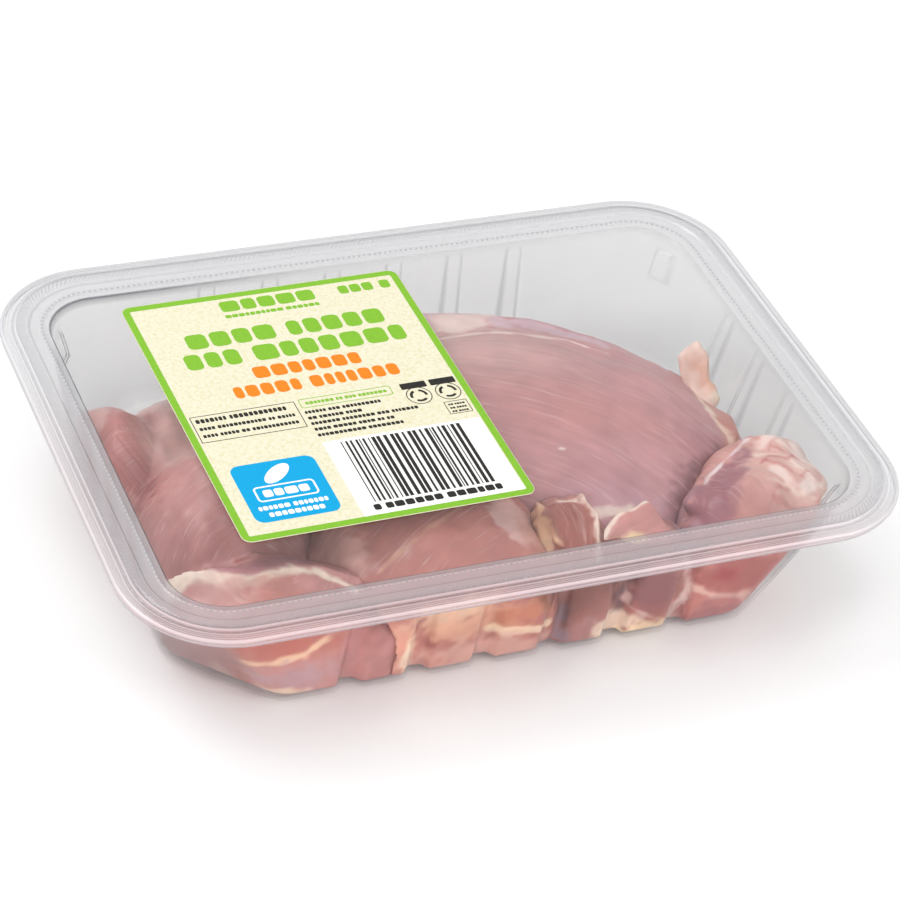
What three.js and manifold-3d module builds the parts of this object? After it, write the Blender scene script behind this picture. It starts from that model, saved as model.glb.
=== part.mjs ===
// A sealed retail tray of raw chicken thigh fillets.
// Millimetres, +Z up. The origin is the middle of the tray's underside, +X runs along
// the long side and -Y is the front. Every solid is worked out from the sizes below.

import * as THREE from 'three';
import { mergeVertices } from 'three/addons/utils/BufferGeometryUtils.js';
import Module from 'manifold-3d';

const wasm = await Module();
wasm.setup();

// Tray: the mouth is the opening that the lidding film closes.
const MOUTH_HALF_X = 90;
const MOUTH_HALF_Y = 60;
const MOUTH_CORNER = 13.5;
const BASE_HALF_X = 84;
const BASE_HALF_Y = 57.4;
const BASE_CHAMFER = 23;
const CHAMFER_ROUNDING = 0.2;
const BASE_EDGE_RADIUS = 2.5;
const RIM_HEIGHT = 37.6;
const WALL = 0.8;
const ROUNDING_POWER = 0.7;
const MIDDLE_SHARE = 0.55;
const CORNER_STEPS = 6;

// Flange, as steps outwards from the mouth and the height of each.
const SEAL_HEIGHT = 39;
const SEAL_FROM = 5.6;
const SEAL_TO = 8.9;
const FLANGE_WIDTH = 13;
const LIP_HEIGHT = 36.4;
const FLANGE_STEPS = [
  [FLANGE_WIDTH - 0.8, RIM_HEIGHT - 0.1],
  [FLANGE_WIDTH - 0.7, LIP_HEIGHT],
  [FLANGE_WIDTH, LIP_HEIGHT],
  [FLANGE_WIDTH, LIP_HEIGHT + 1.4],
  [FLANGE_WIDTH - 0.6, SEAL_HEIGHT - 0.4],
  [SEAL_TO + 1.6, SEAL_HEIGHT - 0.3],
  [SEAL_TO + 1, SEAL_HEIGHT - 0.7],
  [SEAL_TO, SEAL_HEIGHT],
  [SEAL_FROM, SEAL_HEIGHT],
  [SEAL_FROM - 0.4, SEAL_HEIGHT - 0.6],
  [0.5, SEAL_HEIGHT - 0.8],
];

// Flutes: upright grooves pressed inwards, deepest at the base.
const FLUTE_PITCH = 17.7;
const LONG_SIDE_FLUTES = 6;
const SHORT_SIDE_FLUTES = 3;
const FLUTE_DEPTH_BASE = 2.3;
const FLUTE_DEPTH_TOP = 0.2;
const FLUTE_WIDTH_BASE = 7.7;
const FLUTE_WIDTH_TOP = 5;
const FLUTE_FLAT = 3.4;

// Lidding film and paper label.
const FILM = 0.3;
const FILM_SAG = 1.2;
const FILM_CORNER_EASE = 12;
const DIP_RISE_POWER = 1.3;
const DIP_END_POWER = 10;
const CORNER_CUT_SHARE = 0.6;
const LABEL = 0.3;
const LABEL_GAP = 0.25;
const LABEL_WIDTH = 76.6;
const LABEL_LENGTH = 94;
const LABEL_CORNER = 2.5;
const LABEL_CENTRE = [-31.7, 5.9];
const LABEL_TURN = 0.9 * Math.PI / 180;
const CONTACT_GAP = 0.05;

// Fillets: the gap round each, how softly surfaces run together, and how steeply
// a lobe's side drops below its middle.
const MEAT_GAP = 0.65;
const NEIGHBOUR_GAP = 2;
const LID_BLEND = 6;
const PRESSED_BLEND = 3.5;
const CREASE_BLEND = 3;
const LOBE_DROP = 0.35;
const TRIM_EXCESS = 1;
const MEAT_DETAIL = 7;

// Each fillet is a few rounded lobes: middle, half sizes and turn about Z in degrees.
// An earlier fillet keeps its shape where two meet, and a later one is pressed against it.
const FILLETS = [
  {
    name: 'thigh_corner',
    colour: 0xd0a19a,
    heart: [58, -44, 8],
    blend: 3,
    lobes: [
      { at: [73, -38, 12], half: [27, 18, 23.2], turn: 35 },
      { at: [84, -42, 10], half: [14, 18, 22], turn: 0 },
      { at: [58, -52, 7], half: [17, 14, 21], turn: 0 },
      { at: [38, -50, 8], half: [13, 13, 22], turn: 0 },
      { at: [19, -41, 10], half: [12.5, 18, 21], turn: 8 },
    ],
  },
  {
    name: 'thigh_right',
    colour: 0xc99a98,
    heart: [32, 5, 8],
    blend: 5,
    lobes: [
      { at: [32, 5, 12.5], half: [55, 44, 22], turn: -40 },
      { at: [22, 44, 8], half: [20, 9, 19], turn: -10 },
      { at: [77, -6, 6], half: [9, 14, 15], turn: 0 },
      { at: [74, 18, 4], half: [12, 12, 14], turn: 0 },
      { at: [82.5, 14.5, 18], half: [3.2, 5.5, 10.5], turn: -25 },
    ],
  },
  {
    name: 'thigh_left',
    colour: 0xc8918c,
    heart: [-66, -24, 12],
    blend: 3,
    lobes: [
      { at: [-62, -12, 10], half: [25, 30, 25], turn: 6 },
      { at: [-64, -47, 9.5], half: [35, 19, 23], turn: -4 },
      { at: [-79.5, 15, 10], half: [13.5, 23, 22], turn: 14 },
      { at: [-58, 20, 8], half: [24, 22, 20], turn: 0 },
    ],
  },
  {
    name: 'thigh_middle',
    colour: 0xcfa39c,
    heart: [-20, -26, 8],
    blend: 6,
    lobes: [
      { at: [-18, -34, 10], half: [36, 34, 25], turn: -6 },
      { at: [-20, 0, 8], half: [30, 26, 18], turn: 20 },
    ],
  },
];

const { lerp, clamp, degToRad } = THREE.MathUtils;
const UPWARDS = new THREE.Vector3(0, 0, 1);

// How far up the wall a height is: 0 at the base and 1 at the mouth.
const wallShare = (z) => clamp(z / RIM_HEIGHT, 0, 1);

// Distance from the middle of the nearest flute along a side, and the groove's depth there.
function fluteOffset(along, count) {
  const reach = (count - 1) / 2;
  const nearest = clamp(Math.round(along / FLUTE_PITCH + reach), 0, count - 1) - reach;
  return Math.abs(along - nearest * FLUTE_PITCH);
}

function fluteDepth(along, count, z) {
  const share = wallShare(z);
  const depth = lerp(FLUTE_DEPTH_BASE, FLUTE_DEPTH_TOP, share);
  const width = lerp(FLUTE_WIDTH_BASE, FLUTE_WIDTH_TOP, share);
  const slope = (width - FLUTE_FLAT) / 2;
  return depth * clamp((width / 2 - fluteOffset(along, count)) / slope, 0, 1);
}

// The places along one straight side: four for each flute, and its two ends.
function sideStations(count, z, end) {
  const width = lerp(FLUTE_WIDTH_BASE, FLUTE_WIDTH_TOP, wallShare(z));
  const stations = [-end];
  for (let i = 0; i < count; i += 1) {
    const middle = (i - (count - 1) / 2) * FLUTE_PITCH;
    stations.push(middle - width / 2, middle - FLUTE_FLAT / 2);
    stations.push(middle + FLUTE_FLAT / 2, middle + width / 2);
  }
  stations.push(end);
  return stations;
}

// One closed loop of the tray at a height, pushed outwards by a distance.
function trayLoop(z, outwards, flutedHeight = z) {
  const share = wallShare(z);
  const halfX = lerp(BASE_HALF_X, MOUTH_HALF_X, share) + outwards;
  const halfY = lerp(BASE_HALF_Y, MOUTH_HALF_Y, share) + outwards;
  const corner = lerp(BASE_CHAMFER, MOUTH_CORNER, share) + outwards;
  const roundness = lerp(CHAMFER_ROUNDING, 1, share ** ROUNDING_POWER);
  const endX = halfX - corner;
  const endY = halfY - corner;
  const loop = [];
  for (let side = 0; side < 4; side += 1) {
    const long = side % 2 === 0;
    const count = long ? LONG_SIDE_FLUTES : SHORT_SIDE_FLUTES;
    const end = long ? endX : endY;
    const reach = long ? halfY : halfX;
    const turn = side * Math.PI / 2;
    const place = (along, away) => {
      loop.push(new THREE.Vector3(along, -away, z).applyAxisAngle(UPWARDS, turn));
    };
    for (const along of sideStations(count, z, end)) {
      const depth = flutedHeight < RIM_HEIGHT ? fluteDepth(along, count, flutedHeight) : 0;
      place(along, reach - depth);
    }
    for (let i = 1; i < CORNER_STEPS; i += 1) {
      const t = i / CORNER_STEPS;
      const angle = t * Math.PI / 2;
      const along = end + corner * lerp(t, Math.sin(angle), roundness);
      const away = reach - corner * lerp(t, 1 - Math.cos(angle), roundness);
      place(along, away);
    }
  }
  return loop;
}

// A closed solid from loops of equal length, with a fan at the first and the last.
function solidFromLoops(loops) {
  const size = loops[0].length;
  const positions = loops.flat().flatMap((point) => point.toArray());
  const faces = [];
  for (let row = 0; row + 1 < loops.length; row += 1) {
    for (let i = 0; i < size; i += 1) {
      const next = (i + 1) % size;
      const here = row * size;
      const there = here + size;
      faces.push(here + i, here + next, there + next);
      faces.push(here + i, there + next, there + i);
    }
  }
  const capLoop = (row, flip) => {
    const middle = new THREE.Vector3();
    loops[row].forEach((point) => middle.addScaledVector(point, 1 / size));
    const centre = positions.length / 3;
    positions.push(...middle.toArray());
    for (let i = 0; i < size; i += 1) {
      const pair = [row * size + i, row * size + (i + 1) % size];
      if (flip) pair.reverse();
      faces.push(...pair, centre);
    }
  };
  capLoop(0, true);
  capLoop(loops.length - 1, false);
  const geometry = new THREE.BufferGeometry();
  geometry.setAttribute('position', new THREE.Float32BufferAttribute(positions, 3));
  geometry.setIndex(faces);
  geometry.computeVertexNormals();
  return geometry;
}

// Loops round the rounded edge of the base, from the floor up.
function baseEdgeLoops(floor, outwards) {
  return [0, 0.5, 1].map((t) => {
    const angle = t * Math.PI / 2;
    const inset = BASE_EDGE_RADIUS * (1 - Math.sin(angle));
    const height = floor + BASE_EDGE_RADIUS * (1 - Math.cos(angle));
    return trayLoop(height, outwards - inset, BASE_EDGE_RADIUS);
  });
}

// Loops down the inside, from the mouth to the floor, a gap inside the wall.
function innerLoops(gap) {
  return [
    trayLoop(RIM_HEIGHT, -gap, RIM_HEIGHT),
    trayLoop(RIM_HEIGHT * MIDDLE_SHARE, -gap),
    ...baseEdgeLoops(WALL + gap, -gap).toReversed(),
  ];
}

// The tray is one skin: up the outside, over the flange and down the inside.
function trayGeometry() {
  const outside = [
    ...baseEdgeLoops(0, WALL),
    trayLoop(RIM_HEIGHT * MIDDLE_SHARE, WALL),
    trayLoop(RIM_HEIGHT - WALL, WALL),
  ];
  const flange = FLANGE_STEPS.map(([outwards, z]) => trayLoop(z, outwards, RIM_HEIGHT));
  return solidFromLoops([...outside, ...flange, ...innerLoops(0)]);
}

// The film's dip: none at the seal, and deepest towards the front right.
function filmSag(x, y) {
  const dip = (t) => (t > 0 && t < 1 ? t ** DIP_RISE_POWER * (1 - t ** DIP_END_POWER) : 0);
  const acrossX = dip((x + MOUTH_HALF_X) / (2 * MOUTH_HALF_X));
  const acrossY = dip((MOUTH_HALF_Y - y) / (2 * MOUTH_HALF_Y));
  const cornerSum = MOUTH_HALF_X + MOUTH_HALF_Y - MOUTH_CORNER * CORNER_CUT_SHARE;
  const fromCorner = clamp((cornerSum - Math.abs(x) - Math.abs(y)) / FILM_CORNER_EASE, 0, 1);
  return FILM_SAG * acrossX * acrossY * fromCorner;
}

const filmUnderside = (x, y) => SEAL_HEIGHT + CONTACT_GAP - filmSag(x, y);

// A thin sheet over flat outlines that run outwards from its middle, with both faces.
function sheetGeometry(outlines, underside, thickness) {
  const loopAt = (outline, lift) => outline.map(
    ([x, y]) => new THREE.Vector3(x, y, underside(x, y) + lift),
  );
  const below = outlines.map((outline) => loopAt(outline, 0));
  const above = outlines.toReversed().map((outline) => loopAt(outline, thickness));
  return solidFromLoops([...below, ...above]);
}

// A rectangle with round corners, as a list of points that runs counter-clockwise.
function roundedOutline(halfX, halfY, corner, sideSteps, cornerSteps) {
  const outline = [];
  for (let side = 0; side < 4; side += 1) {
    const long = side % 2 === 0;
    const end = (long ? halfX : halfY) - corner;
    const reach = long ? halfY : halfX;
    const turn = side * Math.PI / 2;
    const place = (along, away) => {
      const x = along * Math.cos(turn) + away * Math.sin(turn);
      const y = along * Math.sin(turn) - away * Math.cos(turn);
      outline.push([x, y]);
    };
    for (let i = 0; i < sideSteps; i += 1) {
      place(lerp(-end, end, i / sideSteps), reach);
    }
    for (let i = 0; i < cornerSteps; i += 1) {
      const angle = (i / cornerSteps) * Math.PI / 2;
      place(end + corner * Math.sin(angle), reach - corner * (1 - Math.cos(angle)));
    }
  }
  return outline;
}

// An outline turned about its own middle, then put in place, at several scales.
function outlinesAbout(outline, scales, middle = [0, 0], turn = 0) {
  return scales.map((scale) => outline.map(([x, y]) => [
    middle[0] + scale * (x * Math.cos(turn) - y * Math.sin(turn)),
    middle[1] + scale * (x * Math.sin(turn) + y * Math.cos(turn)),
  ]));
}

function filmGeometry() {
  const steps = [12, 4];
  const sizes = [MOUTH_HALF_X, MOUTH_HALF_Y, MOUTH_CORNER];
  const mouth = roundedOutline(...sizes, ...steps);
  const seal = roundedOutline(...sizes.map((size) => size + SEAL_TO), ...steps);
  const outlines = outlinesAbout(mouth, [0.15, 0.3, 0.45, 0.6, 0.75, 0.88, 1]);
  return sheetGeometry([...outlines, seal], filmUnderside, FILM);
}

function labelGeometry() {
  const outline = roundedOutline(LABEL_WIDTH / 2, LABEL_LENGTH / 2, LABEL_CORNER, 6, 3);
  const outlines = outlinesAbout(outline, [0.33, 0.67, 1], LABEL_CENTRE, LABEL_TURN);
  const underside = (x, y) => filmUnderside(x, y) + FILM + LABEL_GAP;
  return sheetGeometry(outlines, underside, LABEL);
}

// Smooth joins of two distances.
const smoothMin = (a, b, k) => {
  const h = Math.max(k - Math.abs(a - b), 0) / k;
  return Math.min(a, b) - h * h * k / 4;
};
const smoothMax = (a, b, k) => -smoothMin(-a, -b, k);

// Rough distance to a rounded lobe: below zero inside it.
function lobeDistance(point, lobe) {
  const turn = degToRad(lobe.turn);
  const dx = point.x - lobe.at[0];
  const dy = point.y - lobe.at[1];
  const dz = point.z - lobe.at[2];
  const local = [
    dx * Math.cos(turn) + dy * Math.sin(turn),
    -dx * Math.sin(turn) + dy * Math.cos(turn),
    dz < 0 ? dz * LOBE_DROP : dz,
  ];
  const near = Math.hypot(...local.map((value, i) => value / lobe.half[i]));
  const far = Math.hypot(...local.map((value, i) => value / lobe.half[i] ** 2));
  return near * (near - 1) / Math.max(far, 1e-6);
}

// Distance to a plain box round the room in the closed tray: below zero inside it.
// It stands a little outside the walls, which trim the fillet exactly afterwards.
function roomDistance(point) {
  const share = wallShare(point.z);
  const sideX = Math.abs(point.x) - lerp(BASE_HALF_X, MOUTH_HALF_X, share);
  const sideY = Math.abs(point.y) - lerp(BASE_HALF_Y, MOUTH_HALF_Y, share);
  const walls = Math.max(sideX, sideY, -point.z) - TRIM_EXCESS;
  const lid = point.z - filmUnderside(point.x, point.y) + MEAT_GAP;
  return smoothMax(walls, lid, LID_BLEND);
}

function filletDistance(index, point) {
  const lobes = FILLETS[index].lobes.map((lobe) => lobeDistance(point, lobe));
  const body = lobes.reduce((a, b) => smoothMin(a, b, FILLETS[index].blend));
  let distance = smoothMax(body, roomDistance(point), PRESSED_BLEND);
  for (let other = 0; other < index; other += 1) {
    const pressed = NEIGHBOUR_GAP - filletDistance(other, point);
    distance = smoothMax(distance, pressed, CREASE_BLEND);
  }
  return distance;
}

// Each fillet's surface is found along rays from its heart.
function looseFilletGeometry(index) {
  const heart = new THREE.Vector3(...FILLETS[index].heart);
  const sphere = new THREE.IcosahedronGeometry(1, MEAT_DETAIL);
  sphere.deleteAttribute('normal');
  sphere.deleteAttribute('uv');
  const merged = mergeVertices(sphere, 1e-6);
  const position = merged.getAttribute('position');
  const direction = new THREE.Vector3();
  const point = new THREE.Vector3();
  const isInside = (reach) => {
    point.copy(heart).addScaledVector(direction, reach);
    return filletDistance(index, point) < 0;
  };
  for (let i = 0; i < position.count; i += 1) {
    direction.fromBufferAttribute(position, i).normalize();
    let inside = 0;
    while (isInside(inside + 1)) inside += 1;
    let outside = inside + 1;
    for (let step = 0; step < 12; step += 1) {
      const half = (inside + outside) / 2;
      if (isInside(half)) inside = half;
      else outside = half;
    }
    isInside(inside);
    position.setXYZ(i, point.x, point.y, point.z);
  }
  return merged;
}

const toSolid = (geometry) => new wasm.Manifold(new wasm.Mesh({
  numProp: 3,
  vertProperties: Float32Array.from(geometry.getAttribute('position').array),
  triVerts: Uint32Array.from(geometry.getIndex().array),
}));

function fromSolid(solid) {
  const { vertProperties, triVerts } = solid.getMesh();
  const geometry = new THREE.BufferGeometry();
  geometry.setAttribute('position', new THREE.Float32BufferAttribute(vertProperties, 3));
  geometry.setIndex(Array.from(triVerts));
  geometry.computeVertexNormals();
  return geometry;
}

// The room between the tray's walls, a small gap inside them and open above.
function roomGeometry() {
  const loops = innerLoops(MEAT_GAP).toReversed();
  return solidFromLoops([...loops, trayLoop(SEAL_HEIGHT, -MEAT_GAP, RIM_HEIGHT)]);
}

function filletGeometry(index) {
  const loose = toSolid(looseFilletGeometry(index));
  return fromSolid(loose.intersect(toSolid(roomGeometry())));
}

function namedMesh(name, geometry, finish) {
  const mesh = new THREE.Mesh(geometry, new THREE.MeshStandardMaterial(finish));
  mesh.name = name;
  return mesh;
}

const pack = new THREE.Group();

const CLEAR = { color: 0xe6e6e8, roughness: 0.15, metalness: 0, transparent: true, opacity: 0.35 };
pack.add(namedMesh('tray', trayGeometry(), CLEAR));
pack.add(namedMesh('film', filmGeometry(), CLEAR));
pack.add(namedMesh('label', labelGeometry(), { color: 0xf6f0da, roughness: 0.6, metalness: 0 }));
FILLETS.forEach((fillet, index) => {
  const finish = { color: fillet.colour, roughness: 0.35, metalness: 0 };
  pack.add(namedMesh(fillet.name, filletGeometry(index), finish));
});

export default pack;
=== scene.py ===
# A sealed tray of raw chicken thigh fillets, dressed over its CAD model.
# Sizes are in millimetres and meshes are scaled to metres as they are made.
import math

import bpy
import numpy as np
from mathutils import Matrix, Vector


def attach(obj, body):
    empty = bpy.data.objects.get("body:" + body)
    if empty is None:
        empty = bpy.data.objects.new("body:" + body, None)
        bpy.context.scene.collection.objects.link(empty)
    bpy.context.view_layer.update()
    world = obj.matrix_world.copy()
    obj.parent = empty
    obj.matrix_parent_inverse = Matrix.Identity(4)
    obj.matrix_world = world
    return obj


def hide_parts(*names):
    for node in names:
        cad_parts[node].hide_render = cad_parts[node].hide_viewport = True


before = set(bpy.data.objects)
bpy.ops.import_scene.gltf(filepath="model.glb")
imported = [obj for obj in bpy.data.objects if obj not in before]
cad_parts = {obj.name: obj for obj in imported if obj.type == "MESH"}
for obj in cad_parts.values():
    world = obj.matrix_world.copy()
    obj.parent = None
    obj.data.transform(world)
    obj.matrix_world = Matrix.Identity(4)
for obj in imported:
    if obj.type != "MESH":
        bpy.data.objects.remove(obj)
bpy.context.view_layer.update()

# Thermoformed tray: one clear rPET sheet, drawn over a mould into a tapered tub with
# pressed flutes, chamfered lower corners, stacking lugs and a stepped flange.
MM = 0.001
MOUTH_HALF = (90.0, 60.0)
MOUTH_CORNER = 13.5
BASE_HALF = (84.0, 57.4)
BASE_CHAMFER = 23.0
BASE_EDGE = 2.5
RIM_HEIGHT = 37.6
WALL = 0.8
FLUTE_PITCH = 17.7
FLUTE_COUNT = (6, 3)
FLUTE_DEPTH = (2.3, 0.2)
FLUTE_WIDTH = (7.7, 5.0)
FLUTE_FLAT = 3.4
LUG_DEPTH = 1.4
LUG_HEIGHTS = (25.5, 34.5)
LUG_ROWS = (25.5, 26.2, 27, 29, 31, 33, 33.8, 34.5)
LUG_PLACE = 0.68
LUG_SPREAD = 0.15
LUG_RAMP = 0.07
LUG_STEP = 1.5
LUG_EDGE = 2.2
MOULD_ROUNDING = 0.2
MOULD_POWER = 0.7
CLEAR = 0.01
# Painted shade: LUG_EDGE and FLUTE_SHADE draw dark lines along the edges of lugs and flutes, and
# BACK_SHADE is the share of the bends' painted shade left at the back and right, past NEAR_FADE.
FLUTE_SHADE = 0.2
FLUTE_FADE = (5.0, 9.0)
BACK_SHADE = 0.15
NEAR_FADE = (60.0, -20.0)


def lerp(low, high, share):
    return low + (high - low) * share


def smoothstep(low, high, value):
    share = np.clip((value - low) / (high - low), 0.0, 1.0)
    return share * share * (3.0 - 2.0 * share)


def flute_rise(along, count, height):
    """How far up a flute's sloping side a place is: 0 off it, 1 on its flat."""
    share = np.clip(height / RIM_HEIGHT, 0.0, 1.0)
    reach = (count - 1) / 2
    nearest = np.clip(np.round(along / FLUTE_PITCH + reach), 0, count - 1) - reach
    offset = np.abs(along - nearest * FLUTE_PITCH)
    width = lerp(*FLUTE_WIDTH, share)
    ramp = (width - FLUTE_FLAT) / 2
    return np.clip((width / 2 - offset) / ramp, 0.0, 1.0)


def flute_depth(along, count, height):
    share = np.clip(height / RIM_HEIGHT, 0.0, 1.0)
    return lerp(*FLUTE_DEPTH, share) * smoothstep(0.0, 1.0, flute_rise(along, count, height))


def side_stations(count, height, end):
    """Places along a straight side, close together on the flutes."""
    half = lerp(*FLUTE_WIDTH, min(height / RIM_HEIGHT, 1.0)) / 2
    steps = half * np.array([-1.0, -0.82, -0.64, -0.45, -0.2, 0.2, 0.45, 0.64, 0.82, 1.0])
    middles = (np.arange(count) - (count - 1) / 2) * FLUTE_PITCH
    first = np.linspace(-end, middles[0] - half, 9)[:-1]
    last = np.linspace(middles[-1] + half, end, 9)[1:]
    stations = [first]
    for middle in middles:
        stations.append(middle + steps)
        if middle < middles[-1]:
            stations.append(np.linspace(middle + half, middle + FLUTE_PITCH - half, 6)[1:-1])
    stations.append(last)
    return np.concatenate(stations)


def turned_side(side, along, away):
    """Places on one of the four sides, from how far along it and how far out they are."""
    cosine = round(math.cos(side * math.pi / 2))
    sine = round(math.sin(side * math.pi / 2))
    return np.stack([along * cosine + away * sine, along * sine - away * cosine], axis=1)


def tray_loop(height, outwards, fluted=True):
    """One closed loop round the tray at a height, and how near a flute's or lug's edge each place is,
    for painted shade lines there.
    """
    share = min(max(height / RIM_HEIGHT, 0.0), 1.0)
    half = [lerp(BASE_HALF[i], MOUTH_HALF[i], share) + outwards for i in range(2)]
    corner = lerp(BASE_CHAMFER, MOUTH_CORNER, share) + outwards
    roundness = lerp(MOULD_ROUNDING, 1.0, share ** MOULD_POWER)
    lug_height = smoothstep(0.0, LUG_STEP, min(height - LUG_HEIGHTS[0], LUG_HEIGHTS[1] - height))
    loop = []
    near_edge = []
    for side in range(4):
        count = FLUTE_COUNT[side % 2]
        end = half[side % 2] - corner
        reach = half[1 - side % 2]
        along = side_stations(count, height, end)
        away = np.full(along.size, reach)
        if fluted:
            away = away - flute_depth(along, count, height)
        turn = np.linspace(0.0, 1.0, 33)[1:-1]
        rise = flute_rise(along, count, height) if fluted else np.zeros(along.size)
        near_edge += [4 * rise * (1 - rise), np.zeros(turn.size)]
        angle = turn * math.pi / 2
        bend_along = end + corner * lerp(turn, np.sin(angle), roundness)
        bend_away = reach - corner * lerp(turn, 1 - np.cos(angle), roundness)
        if fluted:
            place = LUG_PLACE if side % 2 == 0 else 1 - LUG_PLACE
            near = LUG_SPREAD - np.abs(turn - place)
            lug_rise = lug_height * smoothstep(0.0, LUG_RAMP, near)
            near_edge[-1] = LUG_EDGE * lug_rise * (1 - lug_rise)
            lug = LUG_DEPTH * lug_rise
            bend_along = bend_along - lug * np.sin(place * math.pi / 2)
            bend_away = bend_away - lug * np.cos(place * math.pi / 2)
        along = np.concatenate([along, bend_along])
        away = np.concatenate([away, bend_away])
        loop.append(turned_side(side, along, away))
    loop = np.concatenate(loop)
    return np.column_stack([loop, np.full(len(loop), height)]), np.concatenate(near_edge)


def mesh_object(name, points, faces, materials=(), face_material=None, smooth=True):
    """A mesh object from points in millimetres, lists of corner numbers and materials."""
    mesh = bpy.data.meshes.new(name)
    mesh.from_pydata((np.asarray(points) * MM).tolist(), [], faces)
    for material in materials:
        mesh.materials.append(material)
    if face_material is not None:
        mesh.polygons.foreach_set("material_index", face_material)
    mesh.polygons.foreach_set("use_smooth", [smooth] * len(mesh.polygons))
    mesh.validate()
    mesh.update()
    piece = bpy.data.objects.new(name, mesh)
    bpy.context.collection.objects.link(piece)
    return piece


def loft_faces(rows, size):
    """Faces between loops of equal size, with a fan of one face at either end."""
    faces = []
    for row in range(rows - 1):
        for i in range(size):
            after = (i + 1) % size
            low = row * size
            high = low + size
            faces.append((low + i, low + after, high + after, high + i))
    faces.append(tuple(range(size - 1, -1, -1)))
    faces.append(tuple(range((rows - 1) * size, rows * size)))
    return faces


def linear(code):
    """An sRGB hex colour as linear red, green and blue."""
    parts = [int(code[i:i + 2], 16) / 255 for i in (1, 3, 5)]
    return [c / 12.92 if c <= 0.04045 else ((c + 0.055) / 1.055) ** 2.4 for c in parts]


def rgba(code):
    return (*linear(code), 1.0)


def node(tree, kind, settings=None, **links):
    """Adds a node: settings by attribute name, and links or values by socket name."""
    added = tree.nodes.new(kind)
    for key, value in (settings or {}).items():
        setattr(added, key, value)
    for key, value in links.items():
        found = key[1:].isdigit() and key[0] == "i"
        socket = added.inputs[int(key[1:]) if found else key.replace("_", " ")]
        if isinstance(value, bpy.types.NodeSocket):
            tree.links.new(value, socket)
        else:
            socket.default_value = value
    return added


def attribute(tree, name, output="Fac"):
    return node(tree, "ShaderNodeAttribute", {"attribute_name": name}).outputs[output]


def maths(tree, operation, first, second):
    return node(tree, "ShaderNodeMath", {"operation": operation}, i0=first, i1=second).outputs[0]


def mixed(tree, share, low, high):
    return node(tree, "ShaderNodeMix", {"data_type": "RGBA"}, i0=share, i6=low, i7=high).outputs[2]


def ranged(tree, value, before, after, settings=None):
    """A value brought from one range to another, and held inside it."""
    return node(
        tree, "ShaderNodeMapRange", settings,
        i0=value, i1=before[0], i2=before[1], i3=after[0], i4=after[1],
    ).outputs[0]


def new_material(name):
    material = bpy.data.materials.new(name)
    material.use_nodes = True
    material.node_tree.nodes.clear()
    return material, material.node_tree


def clear_sheet(name, tint, edge_tint, gloss_share):
    """Clear plastic sheet: light goes straight through, with a glossy skin.

    Seen edge on it is darker, as light takes a longer way through it. Its milk_and_highlight
    attribute is how much it is whitened, with painted highlight along the flange's ridges.
    Its painted_meat_light attribute is painted light: how much light from the meat tints that
    white. Its shade attribute is painted shade, which darkens tight bends and the edges of
    flutes and lugs, and where its wet attribute is one, meat touches it.
    """
    material, tree = new_material(name)
    milk_and_highlight, wet, bend, painted_meat_light = [attribute(tree, key) for key in ("milk_and_highlight", "wet", "shade", "painted_meat_light")]
    facing = node(tree, "ShaderNodeLayerWeight", Blend=0.5).outputs["Facing"]
    dryness = maths(tree, "SUBTRACT", 1.0, wet)
    edge_on = maths(tree, "MULTIPLY", maths(tree, "POWER", facing, 6.0), dryness)
    shade = maths(tree, "MULTIPLY", bend, dryness)
    seen_flat = mixed(tree, wet, rgba(tint), rgba("#ffffff"))
    seen_through = mixed(tree, edge_on, seen_flat, rgba(edge_tint))
    # Painted shade: the shade attribute darkens the see-through tint towards grey.
    shaded = mixed(tree, shade, seen_through, rgba("#77777d"))
    through = node(tree, "ShaderNodeBsdfTransparent", Color=shaded)
    # Whitened plastic, with painted highlight along the flange's ridges; painted meat light tints it
    # pink near the front.
    whitened = node(
        tree, "ShaderNodeBsdfPrincipled",
        Base_Color=mixed(tree, painted_meat_light, rgba("#dadadd"), rgba("#e4cfd2")), Roughness=0.4, IOR=1.57,
    )
    gloss = node(
        tree, "ShaderNodeBsdfPrincipled", Base_Color=rgba("#f4f4f6"), Metallic=1.0, Roughness=0.1
    )
    grazing = maths(tree, "POWER", facing, 4.0)
    share = ranged(tree, grazing, (0.0, 1.0), (0.05 * gloss_share, gloss_share))
    body = node(tree, "ShaderNodeMixShader", Fac=milk_and_highlight, i1=through.outputs[0], i2=whitened.outputs[0])
    skin = node(tree, "ShaderNodeMixShader", Fac=share, i1=body.outputs[0], i2=gloss.outputs[0])
    node(tree, "ShaderNodeOutputMaterial", Surface=skin.outputs[0])
    return material


def point_values(piece, name, values):
    layer = piece.data.attributes.new(name, "FLOAT", "POINT")
    layer.data.foreach_set("value", np.broadcast_to(values, len(piece.data.vertices)).astype(float))


def plain_values(piece, milk_and_highlight):
    """Even milk_and_highlight over a whole piece, with no wet contact and no painted shade."""
    point_values(piece, "milk_and_highlight", milk_and_highlight)
    point_values(piece, "wet", 0.0)
    point_values(piece, "shade", 0.0)


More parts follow.
